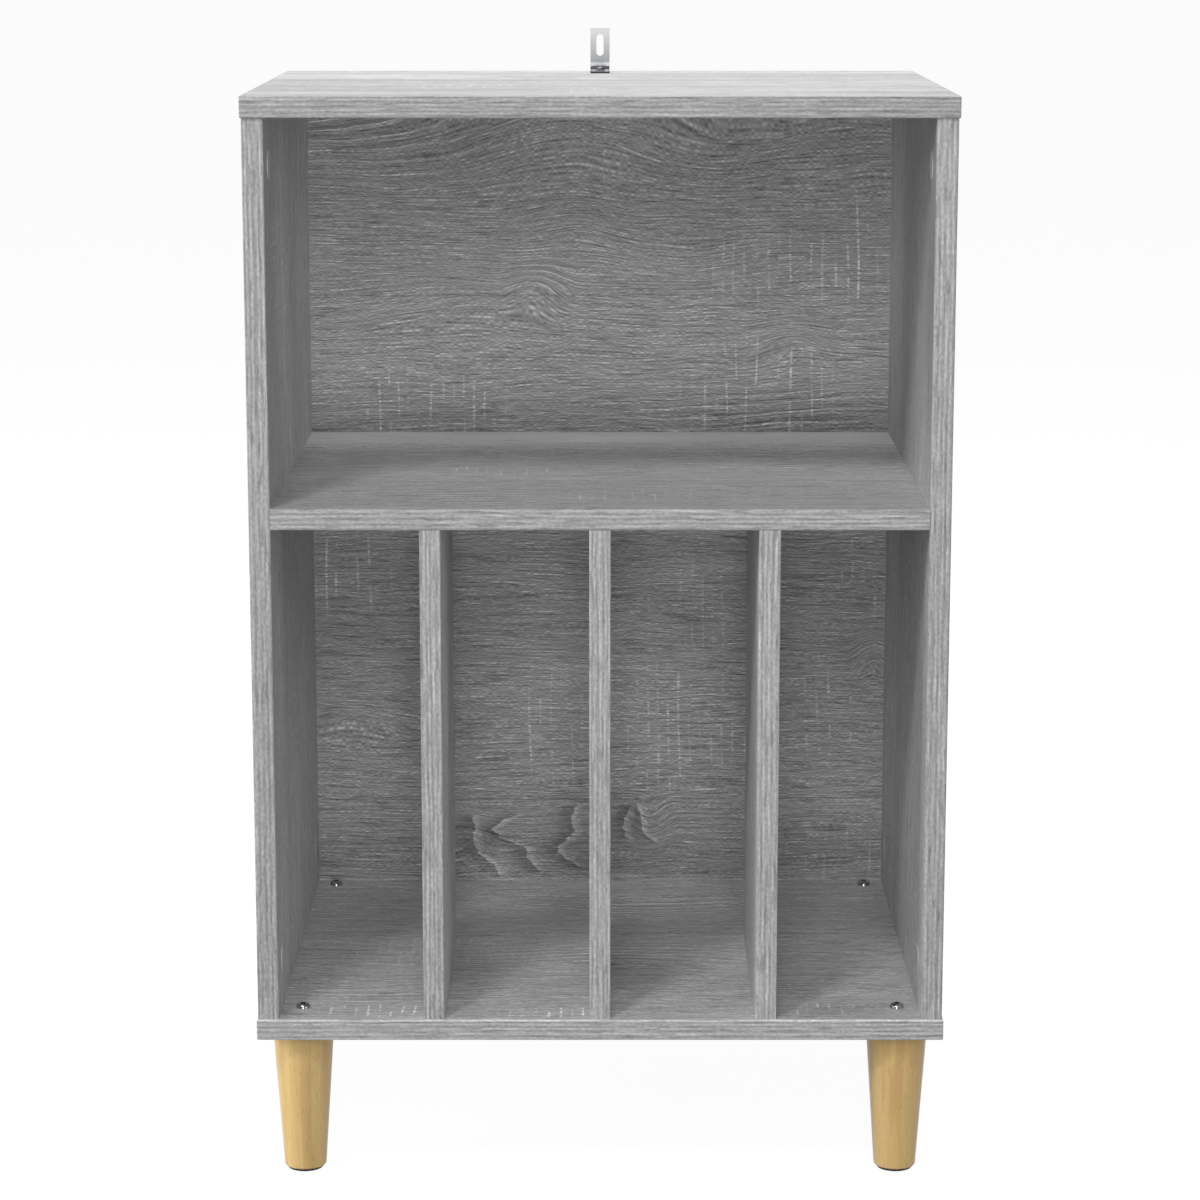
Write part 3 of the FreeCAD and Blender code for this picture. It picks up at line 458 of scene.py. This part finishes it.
def knot_ridge(graph, along, across, ripple, ridge):
    """One jagged line down a knot: light along its right side, and darker wood on its left."""
    low, high = ridge[0][0], ridge[-1][0]
    left = min(point[1] for point in ridge) - 0.001
    right = max(point[1] for point in ridge) + 0.001
    height = graph.ramp(across, low, high, shape="LINEAR")
    curve = graph.tree.nodes.new("ShaderNodeFloatCurve")
    line = curve.mapping.curves[0]
    while len(line.points) < len(ridge):
        line.points.new(0.5, 0.5)
    for point, (up, side) in zip(line.points, ridge):
        point.location = ((up - low) / (high - low), (side - left) / (right - left))
        point.handle_type = "VECTOR"
    curve.mapping.update()
    graph.feed(curve.inputs["Value"], height)
    line_place = graph.ramp(curve.outputs[0], 0.0, 1.0, left, right, "LINEAR")
    jag = graph.noise(graph.vector(along, across, low), 2.0, 0.6, scale=190.0)
    off = graph.sum(along, graph.product(line_place, -1.0), graph.about_half(ripple, 0.004),
                    graph.about_half(jag, 0.008))
    soft = 0.0004
    light_width = 0.009
    dark_width = 0.020
    end_fade = 0.004
    light = graph.product(graph.ramp(off, 0.0, 2 * soft), graph.ramp(off, light_width, 2 * soft))
    dark = graph.product(graph.ramp(off, soft, -soft), graph.ramp(off, -dark_width, -soft))
    ends = graph.product(graph.ramp(across, low, low + end_fade),
                         graph.ramp(across, high, high - end_fade))
    relief = graph.sum(graph.product(light, RIDGE_TONE), graph.product(dark, -RIDGE_TONE))
    return graph.product(relief, ends)


def board_figure(node, grain, across, seed):
    """A random layout of planks, arches, growth rings and saw marks for one board's print."""
    draw = random.Random(seed)
    low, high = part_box(node)
    seams, swells, rings, saw_patches = [], [], [], []
    edge = low[across]
    while edge < high[across]:
        width = draw.uniform(0.105, 0.150)
        middle = edge + width / 2
        centre = draw.uniform(low[grain] + 0.05, high[grain] - 0.05)
        reach = draw.uniform(0.09, 0.17)
        rise = draw.choice((-1.0, 1.0)) * draw.uniform(0.008, 0.014)
        swells.append((centre, middle, reach, width * 0.5, rise))
        rings.append((centre, middle, reach * 1.3, width * 0.45, draw.uniform(0.70, 1.10)))
        saw_centre = draw.uniform(low[grain] + 0.04, high[grain] - 0.04)
        saw_patches.append((saw_centre, middle + draw.uniform(-0.03, 0.03),
                            draw.uniform(0.03, 0.07), draw.uniform(0.02, 0.04), 0.9))
        edge += width
        if edge < high[across]:
            seams.append((edge, draw.uniform(-0.01, 0.01)))
    return {"seams": seams, "swells": swells, "rings": rings, "saw_patches": saw_patches}


def dress_shader(graph, shader, colour, roughness, height, bump_strength, bump_distance):
    """Gives a shader its colour, its roughness and a bump, whose distance is in metres."""
    graph.feed(shader.inputs["Base Color"], colour)
    graph.feed(shader.inputs["Roughness"], roughness)
    graph.feed(shader.inputs["Normal"], graph.bump(height, bump_strength, bump_distance))


def board_material(node, grain, across, inner=0.0, inner_painted_shading=(), grey=BOARD_GREY, **figure):
    """Grey oak on a board's two faces and raw chipboard on its cut edges and in its bores.

    grain and across are axis numbers; the third axis runs through the board's thickness.
    inner is the sign of the side that faces into the cabinet, which alone gets the painted light
    and shade.
    """
    material, graph, shader = new_material(node + "_oak", Specular_IOR_Level=0.35)
    place, axes = object_axes(graph)
    through = 3 - grain - across
    low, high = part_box(node)
    middle = (low[through] + high[through]) / 2
    half = (high[through] - low[through]) / 2
    off_middle = graph.math("ABSOLUTE", graph.math("SUBTRACT", axes[through], middle))
    core = graph.math("LESS_THAN", off_middle, half - PRINT_SKIN)
    seed = BOARD_SEEDS[node]
    layout = board_figure(node, grain, across, seed)
    layout.update(figure)
    shade, height = oak_figure(graph, axes[grain], axes[across], seed, **layout)
    if inner:
        flat = graph.vector(axes[grain], axes[across])
        inward = graph.product(graph.sum(axes[through], -middle), inner)
        facing = graph.math("GREATER_THAN", inward, 0.0)
        # Painted light and shade on the face that looks into the cabinet
        for spot, strength in graph.patches(flat, inner_painted_shading):
            lift = graph.math("POWER", 2.0, graph.product(spot, facing, strength))
            shade = graph.math("MULTIPLY", shade, lift)
    print_colour = graph.tinted((grey,) * 3, shade)
    raw_colour = use_group(graph, CHIPBOARD, {"Vector": place})["Color"]
    colour = graph.mix(core, print_colour, raw_colour)
    roughness = graph.sum(0.52, graph.product(height, -0.12))
    dress_shader(graph, shader, colour, roughness, height, *OAK_BUMP)
    return material


def back_panel_material(node, **figure):
    """The thin back: the oak print in front, and the plain brown hardboard behind."""
    material, graph, shader = new_material(node + "_oak", Specular_IOR_Level=0.35)
    place, axes = object_axes(graph)
    front_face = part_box(node)[0][Y]
    behind = graph.math("GREATER_THAN", axes[Y], front_face + PRINT_SKIN)
    shade, height = oak_figure(graph, axes[X], axes[Z], BOARD_SEEDS[node], **figure)
    print_colour = graph.tinted((BOARD_GREY,) * 3, shade)
    felt = graph.noise(place, 4.0, 0.7, scale=420.0)
    cloud = graph.noise(place, 2.0, scale=9.0)
    tone = graph.sum(graph.product(felt, 0.7), graph.product(cloud, 0.3))
    raw_colour = graph.mix(tone, *HARDBOARD_COLOURS)
    colour = graph.mix(behind, print_colour, raw_colour)
    height = graph.sum(graph.product(height, graph.math("SUBTRACT", 1.0, behind)),
                       graph.product(felt, behind, 0.5))
    roughness = graph.sum(0.55, graph.product(height, -0.12))
    dress_shader(graph, shader, colour, roughness, height, *OAK_BUMP)
    return material


def band_material(name, grain, seed, grey, highlight_edge_height=None):
    """Edge band: thin even lines along the board's edge, with short dark dashes among them.

    grain is Z for the upright boards, and anything else for the level ones. The last argument is
    the height of an upper edge that gets a painted highlight along it.
    """
    material, graph, shader = new_material(name)
    _, axes = object_axes(graph)
    round_corner = graph.math("ADD", axes[X], axes[Y])
    along, across = (axes[Z], round_corner) if grain == Z else (round_corner, axes[Z])
    place = graph.vector(along, across, seed)
    layer = graph.layers(place, BAND_LAYERS)
    turn = graph.sum(graph.product(across, 2.0 * math.pi / BAND_PITCH),
                     graph.about_half(layer["sway"], 6.0))
    line = graph.math("SINE", turn)
    dash = graph.ramp(layer["dash"], *DASH_FADE)
    contrast = graph.sum(BAND_LINE, graph.about_half(layer["body"], BAND_SWINGS["body"]))
    swing = graph.sum(
        BAND_LEVEL,
        graph.product(line, contrast),
        graph.about_half(layer["fibre"], BAND_SWINGS["fibre"]),
        graph.about_half(layer["streak"], BAND_SWINGS["streak"]),
        graph.about_half(layer["slow"], BAND_SWINGS["slow"]),
        graph.product(dash, BAND_SWINGS["dash"]))
    # A painted highlight along the upper edge
    if highlight_edge_height is not None:
        edge_highlight_mask = graph.ramp(axes[Z], highlight_edge_height - 0.0018, highlight_edge_height - 0.0008)
        swing = graph.math("ADD", swing, graph.product(edge_highlight_mask, PAINTED_EDGE_HIGHLIGHT))
    height = graph.sum(graph.product(line, 0.4), graph.about_half(layer["streak"], 1.0),
                       graph.product(dash, -0.6))
    colour = graph.tinted((grey,) * 3, graph.math("POWER", 2.0, swing))
    roughness = graph.sum(0.5, graph.product(height, -0.08))
    dress_shader(graph, shader, colour, roughness, height, 0.25, 0.0003)
    return material


def leg_material():
    """Turned legs: pale lacquered hardwood with fine straight grain and small brown flecks."""
    material, graph, shader = new_material(
        "leg_beech", Specular_IOR_Level=0.2, Coat_Weight=0.05, Coat_Roughness=0.25)
    place, _ = object_axes(graph)
    layers = graph.noise(graph.stretched(place, (130.0, 38.0, 5.0)), 2.0)
    grain = graph.noise(graph.stretched(place, (700.0, 700.0, 26.0)), 3.0, 0.6)
    fleck_noise = graph.noise(graph.stretched(place, (900.0, 900.0, 150.0)), 0.0)
    fleck = graph.ramp(fleck_noise, 0.66, 0.74)
    patch = graph.noise(graph.stretched(place, (40.0, 40.0, 12.0)), 2.0)
    level = graph.sum(graph.product(layers, 0.55), graph.product(grain, 0.25),
                      graph.product(patch, 0.2))
    wood = graph.mix(graph.ramp(level, 0.32, 0.68), *LEG_COLOURS)
    heart_noise = graph.noise(graph.stretched(place, (110.0, 110.0, 4.0), (1.7, 4.4, 2.6)), 1.0)
    heart = graph.ramp(heart_noise, 0.54, 0.66)
    wood = graph.mix(graph.product(heart, 0.45), wood, LEG_HEART)
    colour = graph.mix(graph.product(fleck, 0.25), wood, LEG_FLECK)
    roughness = graph.sum(0.38, graph.about_half(grain, 0.12))
    dress_shader(graph, shader, colour, roughness, graph.sum(grain, graph.product(fleck, -0.5)),
                 0.12, 0.0003)
    return material


def metal_material(name, tone, roughness, mottle, scale, bump_strength):
    """Plated metal whose tone and gloss vary a little from place to place."""
    material, graph, shader = new_material(name, Metallic=1.0)
    place, _ = object_axes(graph)
    cloud = graph.noise(place, 3.0, 0.6, scale=scale)
    fine = graph.noise(place, 2.0, scale=scale * 9.0)
    shade = graph.sum(1.0, graph.about_half(cloud, mottle), graph.about_half(fine, mottle * 0.4))
    gloss = graph.sum(roughness, graph.about_half(cloud, roughness * 0.6),
                      graph.about_half(fine, roughness * 0.3))
    dress_shader(graph, shader, graph.tinted(tone, shade), gloss, fine, bump_strength, 0.0001)
    return material


def rolled_zinc_material(node):
    """The bracket's plated strip, from the flange up to the tab.

    The flange is glossy with painted shade on its cut edge, the bend has a painted highlight with
    painted shade in its inner corner, and the upright tab is duller, with painted shading that
    gets lighter towards its top.
    """
    material, graph, shader = new_material("bracket_zinc", Metallic=1.0)
    place, axes = object_axes(graph)
    low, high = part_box(node)
    flange_top = low[Z] + 0.0016
    corner_top = low[Z] + 0.0036
    bend_top = low[Z] + 0.0062
    flange = graph.ramp(axes[Z], flange_top + 0.0002, flange_top)
    # Masks of the painted shade on the flange's cut edge and in the bend's inner corner
    cut_edge_shade = graph.ramp(axes[Y], low[Y] + 0.0006, low[Y] + 0.0002)
    corner = graph.ramp(axes[Z], corner_top + 0.0006, corner_top)
    tab = graph.ramp(axes[Z], bend_top, bend_top + 0.0010)
    lines = graph.noise(graph.stretched(place, (60.0, 60.0, 900.0)), 2.0)
    mottle = graph.noise(place, 2.0, 0.6, scale=120.0)
    shade = graph.sum(1.0, graph.about_half(lines, 0.16), graph.about_half(mottle, 0.20))
    gloss = graph.sum(0.20, graph.product(tab, 0.22), graph.about_half(lines, 0.08),
                      graph.about_half(mottle, 0.08))
    # Painted shading up the tab, and a painted highlight with painted shade on the bend
    rise = graph.ramp(axes[Z], bend_top, high[Z] - 0.004, shape="LINEAR")
    tab_painted_shading = graph.mix(rise, *BRACKET_TAB_PAINTED_SHADING)
    bend_highlight_and_shade = graph.mix(corner, BRACKET_BEND_HIGHLIGHT, BRACKET_PAINTED_SHADE)
    flange_tone = graph.mix(cut_edge_shade, BRACKET_FLANGE, BRACKET_PAINTED_SHADE)
    tone = graph.mix(tab, graph.mix(flange, bend_highlight_and_shade, flange_tone), tab_painted_shading)
    dress_shader(graph, shader, graph.tinted(tone, shade), gloss, lines, 0.03, 0.0001)
    return material


def pad_material():
    """Black felt glides: matt, fibrous and a little dusty."""
    material, graph, shader = new_material("foot_felt", Specular_IOR_Level=0.1)
    place, _ = object_axes(graph)
    fuzz = graph.noise(place, 4.0, 0.75, scale=1400.0)
    dust = graph.noise(place, 2.0, scale=160.0)
    level = graph.sum(graph.product(fuzz, 0.7), graph.product(dust, 0.3))
    colour = graph.mix(level, *FELT_COLOURS)
    roughness = graph.sum(0.85, graph.about_half(fuzz, 0.2))
    dress_shader(graph, shader, colour, roughness, fuzz, 0.6, 0.0006)
    return material


def cover_material():
    """Covers of the cam fittings: light grey plastic with a fine moulded grain."""
    material, graph, shader = new_material("cover_plastic")
    place, _ = object_axes(graph)
    grain = graph.noise(place, 2.0, 0.6, scale=2200.0)
    cloud = graph.noise(place, 2.0, scale=120.0)
    shade = graph.sum(1.0, graph.about_half(grain, 0.12), graph.about_half(cloud, 0.12))
    colour = graph.tinted(COVER_COLOUR, shade)
    roughness = graph.sum(0.42, graph.about_half(cloud, 0.15))
    dress_shader(graph, shader, colour, roughness, grain, 0.15, 0.0002)
    return material


def dowel_material():
    """Plain beech dowels, end grain and long grain in one solid texture."""
    material, graph, shader = new_material("dowel_beech")
    place, _ = object_axes(graph)
    grain = graph.noise(place, 3.0, 0.6, scale=900.0)
    layer = graph.noise(graph.stretched(place, (60.0, 240.0, 60.0)), 2.0)
    level = graph.sum(graph.product(grain, 0.5), graph.product(layer, 0.5))
    colour = graph.mix(graph.ramp(level, 0.3, 0.7), *DOWEL_COLOURS)
    roughness = graph.sum(0.6, graph.about_half(grain, 0.15))
    dress_shader(graph, shader, colour, roughness, grain, 0.2, 0.0003)
    return material


def dress(node, material):
    """Puts one material on every slot of a CAD node."""
    for slot in NODES[node].material_slots:
        slot.material = material


# Joints of the planks in the back panel's print, and what its open bays show: arches, growth
# rings, the ridges of a knot, saw marks, and tones, which hold the print's tone bands and also
# painted light and shade. The tables' columns are those that oak_figure names, along X and Z,
# in metres
BACK_SEAMS = (
    (0.188, 0.004),
    (0.361, 0.066),
    (0.598, 0.002),
)
BACK_SWELLS = (
    (-0.030, 0.860, 0.260, 0.200, 0.090),
    (0.200, 0.860, 0.260, 0.200, 0.075),
    (-0.024, 0.700, 0.100, 0.050, 0.009),
    (-0.020, 0.650, 0.060, 0.040, 0.009),
    (-0.110, 0.596, 0.110, 0.040, 0.011),
    (-0.052, 0.604, 0.036, 0.032, 0.013),
    (0.070, 0.628, 0.070, 0.030, -0.006),
    (0.152, 0.562, 0.044, 0.032, 0.009),
    (0.200, 0.505, 0.150, 0.060, 0.014),
    (-0.110, 0.158, 0.040, 0.030, 0.012),
    (0.040, 0.166, 0.024, 0.034, -0.012),
    (0.222, 0.312, 0.026, 0.030, 0.014),
    (-0.200, 0.255, 0.060, 0.030, 0.008),
)
BACK_RINGS = (
    (-0.190, 0.745, 0.170, 0.085, 1.00),
    (0.130, 0.500, 0.130, 0.045, 0.90),
    (-0.040, 0.616, 0.050, 0.030, 0.90),
)
BACK_RIDGES = (
    ((0.121, -0.080), (0.132, -0.086), (0.141, -0.097), (0.151, -0.103), (0.163, -0.102),
     (0.176, -0.104)),
    ((0.125, -0.047), (0.131, -0.054), (0.139, -0.059), (0.147, -0.060), (0.150, -0.068),
     (0.156, -0.081), (0.163, -0.088), (0.171, -0.077), (0.175, -0.067), (0.178, -0.078)),
    ((0.129, -0.011), (0.133, -0.020), (0.138, -0.029), (0.143, -0.035), (0.149, -0.035),
     (0.154, -0.028), (0.161, -0.021), (0.170, -0.025), (0.175, -0.023), (0.185, -0.018)),
    ((0.152, 0.024), (0.159, 0.019), (0.172, 0.020), (0.178, 0.023), (0.184, 0.026)),
    ((0.150, 0.046), (0.162, 0.034), (0.172, 0.033), (0.180, 0.031), (0.187, 0.029)),
)
BACK_SAW_PATCHES = (
    (0.150, 0.619, 0.090, 0.036, 1.00),
    (0.203, 0.633, 0.016, 0.055, 1.10),
    (-0.140, 0.508, 0.085, 0.040, 1.10),
    (0.125, 0.520, 0.075, 0.055, 1.15),
    (0.003, 0.715, 0.014, 0.045, 0.80),
    (0.160, 0.745, 0.060, 0.030, 0.50),
    (-0.203, 0.375, 0.044, 0.044, 1.20),
    (-0.033, 0.247, 0.040, 0.060, 1.05),
    (0.086, 0.350, 0.032, 0.050, 0.60),
    (0.050, 0.248, 0.036, 0.064, 1.00),
    (0.102, 0.252, 0.030, 0.044, 1.00),
    (0.208, 0.370, 0.028, 0.042, 1.00),
    (0.182, 0.256, 0.032, 0.046, 1.00),
    (0.186, 0.140, 0.060, 0.030, 0.70),
)
# Tones of the back panel: the print's own, painted shade under the top board, just above the shelf
# and at the foot of the lower bays, painted light in the middle of the bays, and a painted
# highlight along the panel's lower edge
BACK_TONES_AND_PAINTED_LIGHT = (
    (0.0, 0.775, 0.0, 0.130, -0.34),
    (0.040, 0.775, 0.220, 0.090, 0.58),
    (0.0, 0.620, 0.0, 0.120, 0.15),
    (0.0, 0.620, 0.200, 0.110, 0.22),
    (0.0, 0.478, 0.0, 0.060, -0.52),
    (0.0, 0.310, 0.0, 0.130, -0.04),
    (0.0, 0.290, 0.150, 0.130, 0.62),
    (0.030, 0.445, 0.150, 0.060, 0.25),
    (0.0, 0.121, 0.0, 0.070, -0.52),
    (-0.060, 0.620, 0.280, 0.060, 0.12),
    (0.160, 0.496, 0.110, 0.024, -0.30),
    (-0.190, 0.493, 0.150, 0.014, -0.26),
    (-0.100, 0.385, 0.300, 0.026, -0.22),
    (0.100, 0.395, 0.300, 0.020, -0.20),
    (-0.086, 0.130, 0.030, 0.022, 0.50),
    (-0.084, 0.154, 0.022, 0.012, -0.40),
    (-0.030, 0.165, 0.030, 0.022, -0.12),
    (0.024, 0.124, 0.030, 0.003, 0.80),
    (0.0, 0.1205, 0.0, 0.0025, 0.50),
    (0.0, 0.715, 0.110, 0.045, 0.26),
    (0.160, 0.510, 0.110, 0.040, -0.26),
    (-0.140, 0.510, 0.110, 0.040, -0.16),
    (-0.190, 0.155, 0.060, 0.045, -0.26),
    (0.185, 0.155, 0.060, 0.045, -0.24),
    (0.063, 0.382, 0.065, 0.040, 0.28),
    (-0.060, 0.382, 0.060, 0.040, 0.18),
    (-0.190, 0.272, 0.050, 0.070, 0.18),
    (0.187, 0.382, 0.055, 0.040, -0.24),
)

# Saw marks of the bottom board's upper face, and the painted light and shade on it, along X and Y
BOTTOM_SAW_PATCHES = (
    (-0.160, -0.168, 0.050, 0.018, 2.00),
    (-0.035, -0.172, 0.060, 0.014, 1.40),
    (0.150, -0.165, 0.060, 0.018, 1.30),
    (-0.130, -0.020, 0.080, 0.050, 0.70),
)
# Painted light and shade: lighter towards the back of the bays, darker in patches beside the
# dividers, at the front right and on the left
BOTTOM_PAINTED_SHADING = (
    (0.0, 0.160, 0.0, 0.150, 0.60),
    (0.0, 0.150, 0.170, 0.120, 0.60),
    (0.160, 0.000, 0.120, 0.130, 0.25),
    (0.168, -0.164, 0.070, 0.040, -0.36),
    (-0.170, 0.000, 0.090, 0.180, -0.22),
    (-0.190, 0.104, 0.060, 0.080, -0.30),
    (-0.094, 0.104, 0.035, 0.070, 0.36),
    (-0.028, 0.104, 0.035, 0.070, -0.30),
    (-0.103, -0.064, 0.035, 0.070, -0.40),
    (0.095, 0.104, 0.035, 0.070, 0.26),
    (0.023, -0.064, 0.035, 0.070, -0.40),
)

# Tones of the top board, along X and Y: lighter towards the back, darker towards the front, and
# long thin streaks
TOP_TONES = (
    (0.0, 0.140, 0.0, 0.150, 0.22),
    (0.0, -0.140, 0.0, 0.120, -0.13),
    (-0.120, -0.120, 0.160, 0.030, -0.12),
    (0.100, -0.060, 0.200, 0.025, 0.14),
    (-0.020, 0.030, 0.260, 0.028, -0.14),
    (0.150, 0.110, 0.140, 0.026, -0.12),
    (-0.150, 0.100, 0.120, 0.022, 0.12),
)

# Painted light and shade on the side panels' inner faces, along Z and Y: both sides, the left and
# the right
SIDE_PAINTED_SHADING = (
    (0.280, 0.020, 0.300, 0.420, 1.25),
    (0.640, 0.140, 0.160, 0.200, 0.40),
    (0.290, 0.0, 0.170, 0.0, -0.32),
)
LEFT_PAINTED_SHADING = SIDE_PAINTED_SHADING + (
    (0.640, -0.067, 0.200, 0.085, 0.55),
)
RIGHT_PAINTED_SHADING = SIDE_PAINTED_SHADING + (
    (0.640, -0.180, 0.170, 0.100, -0.80),
    (0.640, 0.160, 0.200, 0.200, 0.45),
)

# Painted light and shade on the shelf's upper face, along X and Y: darker at the front and the
# middle, much lighter at the back
SHELF_PAINTED_SHADING = (
    (0.0, -0.170, 0.0, 0.110, -0.20),
    (0.0, -0.020, 0.0, 0.070, -0.15),
    (0.0, 0.160, 0.0, 0.130, 1.42),
)


def dress_boards():
    dress("back_panel", back_panel_material(
        "back_panel", seams=BACK_SEAMS, swells=BACK_SWELLS, saw_patches=BACK_SAW_PATCHES,
        tones=BACK_TONES_AND_PAINTED_LIGHT, rings=BACK_RINGS, ridges=BACK_RIDGES))
    dress("top_board", board_material("top_board", X, Y, tones=TOP_TONES, streaks=1.5))
    dress("bottom_board", board_material(
        "bottom_board", X, Y, 1.0, BOTTOM_PAINTED_SHADING, saw_patches=BOTTOM_SAW_PATCHES))
    dress("middle_shelf", board_material("middle_shelf", X, Y, 1.0, SHELF_PAINTED_SHADING))
    dress("left_side_panel", board_material("left_side_panel", Z, Y, 1.0, LEFT_PAINTED_SHADING))
    dress("right_side_panel", board_material("right_side_panel", Z, Y, -1.0, RIGHT_PAINTED_SHADING))
    for node in ("left_divider", "middle_divider", "right_divider"):
        dress(node, board_material(node, Z, Y, grey=DIVIDER_GREY_PAINTED_LIGHT))


def dress_bands():
    """The edge bands; the bottom one gets a painted highlight along its upper edge."""
    highlight_edge_heights = {"bottom_edge_band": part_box("bottom_edge_band")[1][Z]}
    for node, grain, seed, share in EDGE_BANDS:
        name = node.replace("edge_band", "band_oak")
        dress(node, band_material(name, grain, seed, BAND_GREY * share, highlight_edge_heights.get(node)))


def dress_fittings():
    leg = leg_material()
    pad = pad_material()
    for corner in ("front_left", "front_right", "rear_left", "rear_right"):
        dress(corner + "_leg", leg)
        dress(corner + "_foot_pad", pad)
    for name, look in METALS.items():
        metal = metal_material(name, *look)
        for node in METAL_NODES[name]:
            dress(node, metal)
    cover = cover_material()
    for node in ("carcass_cam_covers", "shelf_cam_covers"):
        dress(node, cover)
    dowel = dowel_material()
    for node in ("carcass_dowels", "shelf_dowels", "divider_dowels"):
        dress(node, dowel)
    dress("wall_bracket", rolled_zinc_material("wall_bracket"))


def make_floor():
    """A plain pale floor that glows for the camera but doesn't light the object from below."""
    half = 40.0
    mesh = bpy.data.meshes.new("floor")
    corners = [(x * half, y * half, 0.0) for x, y in ((-1, -1), (1, -1), (1, 1), (-1, 1))]
    mesh.from_pydata(corners, [], [(0, 1, 2, 3)])
    floor = bpy.data.objects.new("floor", mesh)
    bpy.context.scene.collection.objects.link(floor)
    material, _, _ = new_material(
        "floor_pale", Base_Color=(0.10, 0.10, 0.10, 1.0), Roughness=0.9,
        Specular_IOR_Level=0.0, Emission_Color=(1.0, 1.0, 1.0, 1.0),
        Emission_Strength=PALE_LEVEL)
    mesh.materials.append(material)
    floor.visible_diffuse = False


def make_light(name, azimuth, elevation, size, power, target_height):
    """A square soft light; azimuth 0 is in front of the object and 90 on its right."""
    data = bpy.data.lights.new(name, "AREA")
    data.shape = "SQUARE"
    data.size = size
    data.energy = power
    light = bpy.data.objects.new(name, data)
    bpy.context.scene.collection.objects.link(light)
    turn, tilt = math.radians(azimuth), math.radians(elevation)
    away = Vector((
        math.sin(turn) * math.cos(tilt), -math.cos(turn) * math.cos(tilt), math.sin(tilt)))
    light.location = Vector((0.0, 0.0, target_height)) + LIGHT_DISTANCE * away
    light.rotation_euler = (-away).to_track_quat("-Z", "Y").to_euler()
    light.visible_camera = False


def make_world():
    """A dim even room light, with a pale background where the camera sees past the floor."""
    world = bpy.data.worlds.new("soft_room")
    world.use_nodes = True
    graph = Graph(world.node_tree)
    seen = graph.add("ShaderNodeLightPath", {}, output="Is Camera Ray")
    level = graph.ramp(seen, 0.0, 1.0, ROOM_LEVEL, PALE_LEVEL, "LINEAR")
    background = world.node_tree.nodes["Background"]
    background.inputs["Color"].default_value = (1.0, 1.0, 1.0, 1.0)
    graph.feed(background.inputs["Strength"], level)
    bpy.context.scene.world = world


def make_camera():
    data = bpy.data.cameras.new("camera")
    data.sensor_width = SENSOR_WIDTH
    data.lens = LENS
    data.clip_end = 50.0
    camera = bpy.data.objects.new("camera", data)
    bpy.context.scene.collection.objects.link(camera)
    camera.location = CAMERA_PLACE
    camera.rotation_euler = (math.radians(90.0 - CAMERA_PITCH), 0.0, 0.0)
    bpy.context.scene.camera = camera


bpy.context.scene.view_settings.view_transform = "Standard"
bpy.context.scene.view_settings.gamma = VIEW_GAMMA
make_camera()
make_world()
for light_row in LIGHTS:
    make_light(*light_row)
make_floor()
dress_boards()
dress_bands()
dress_fittings()
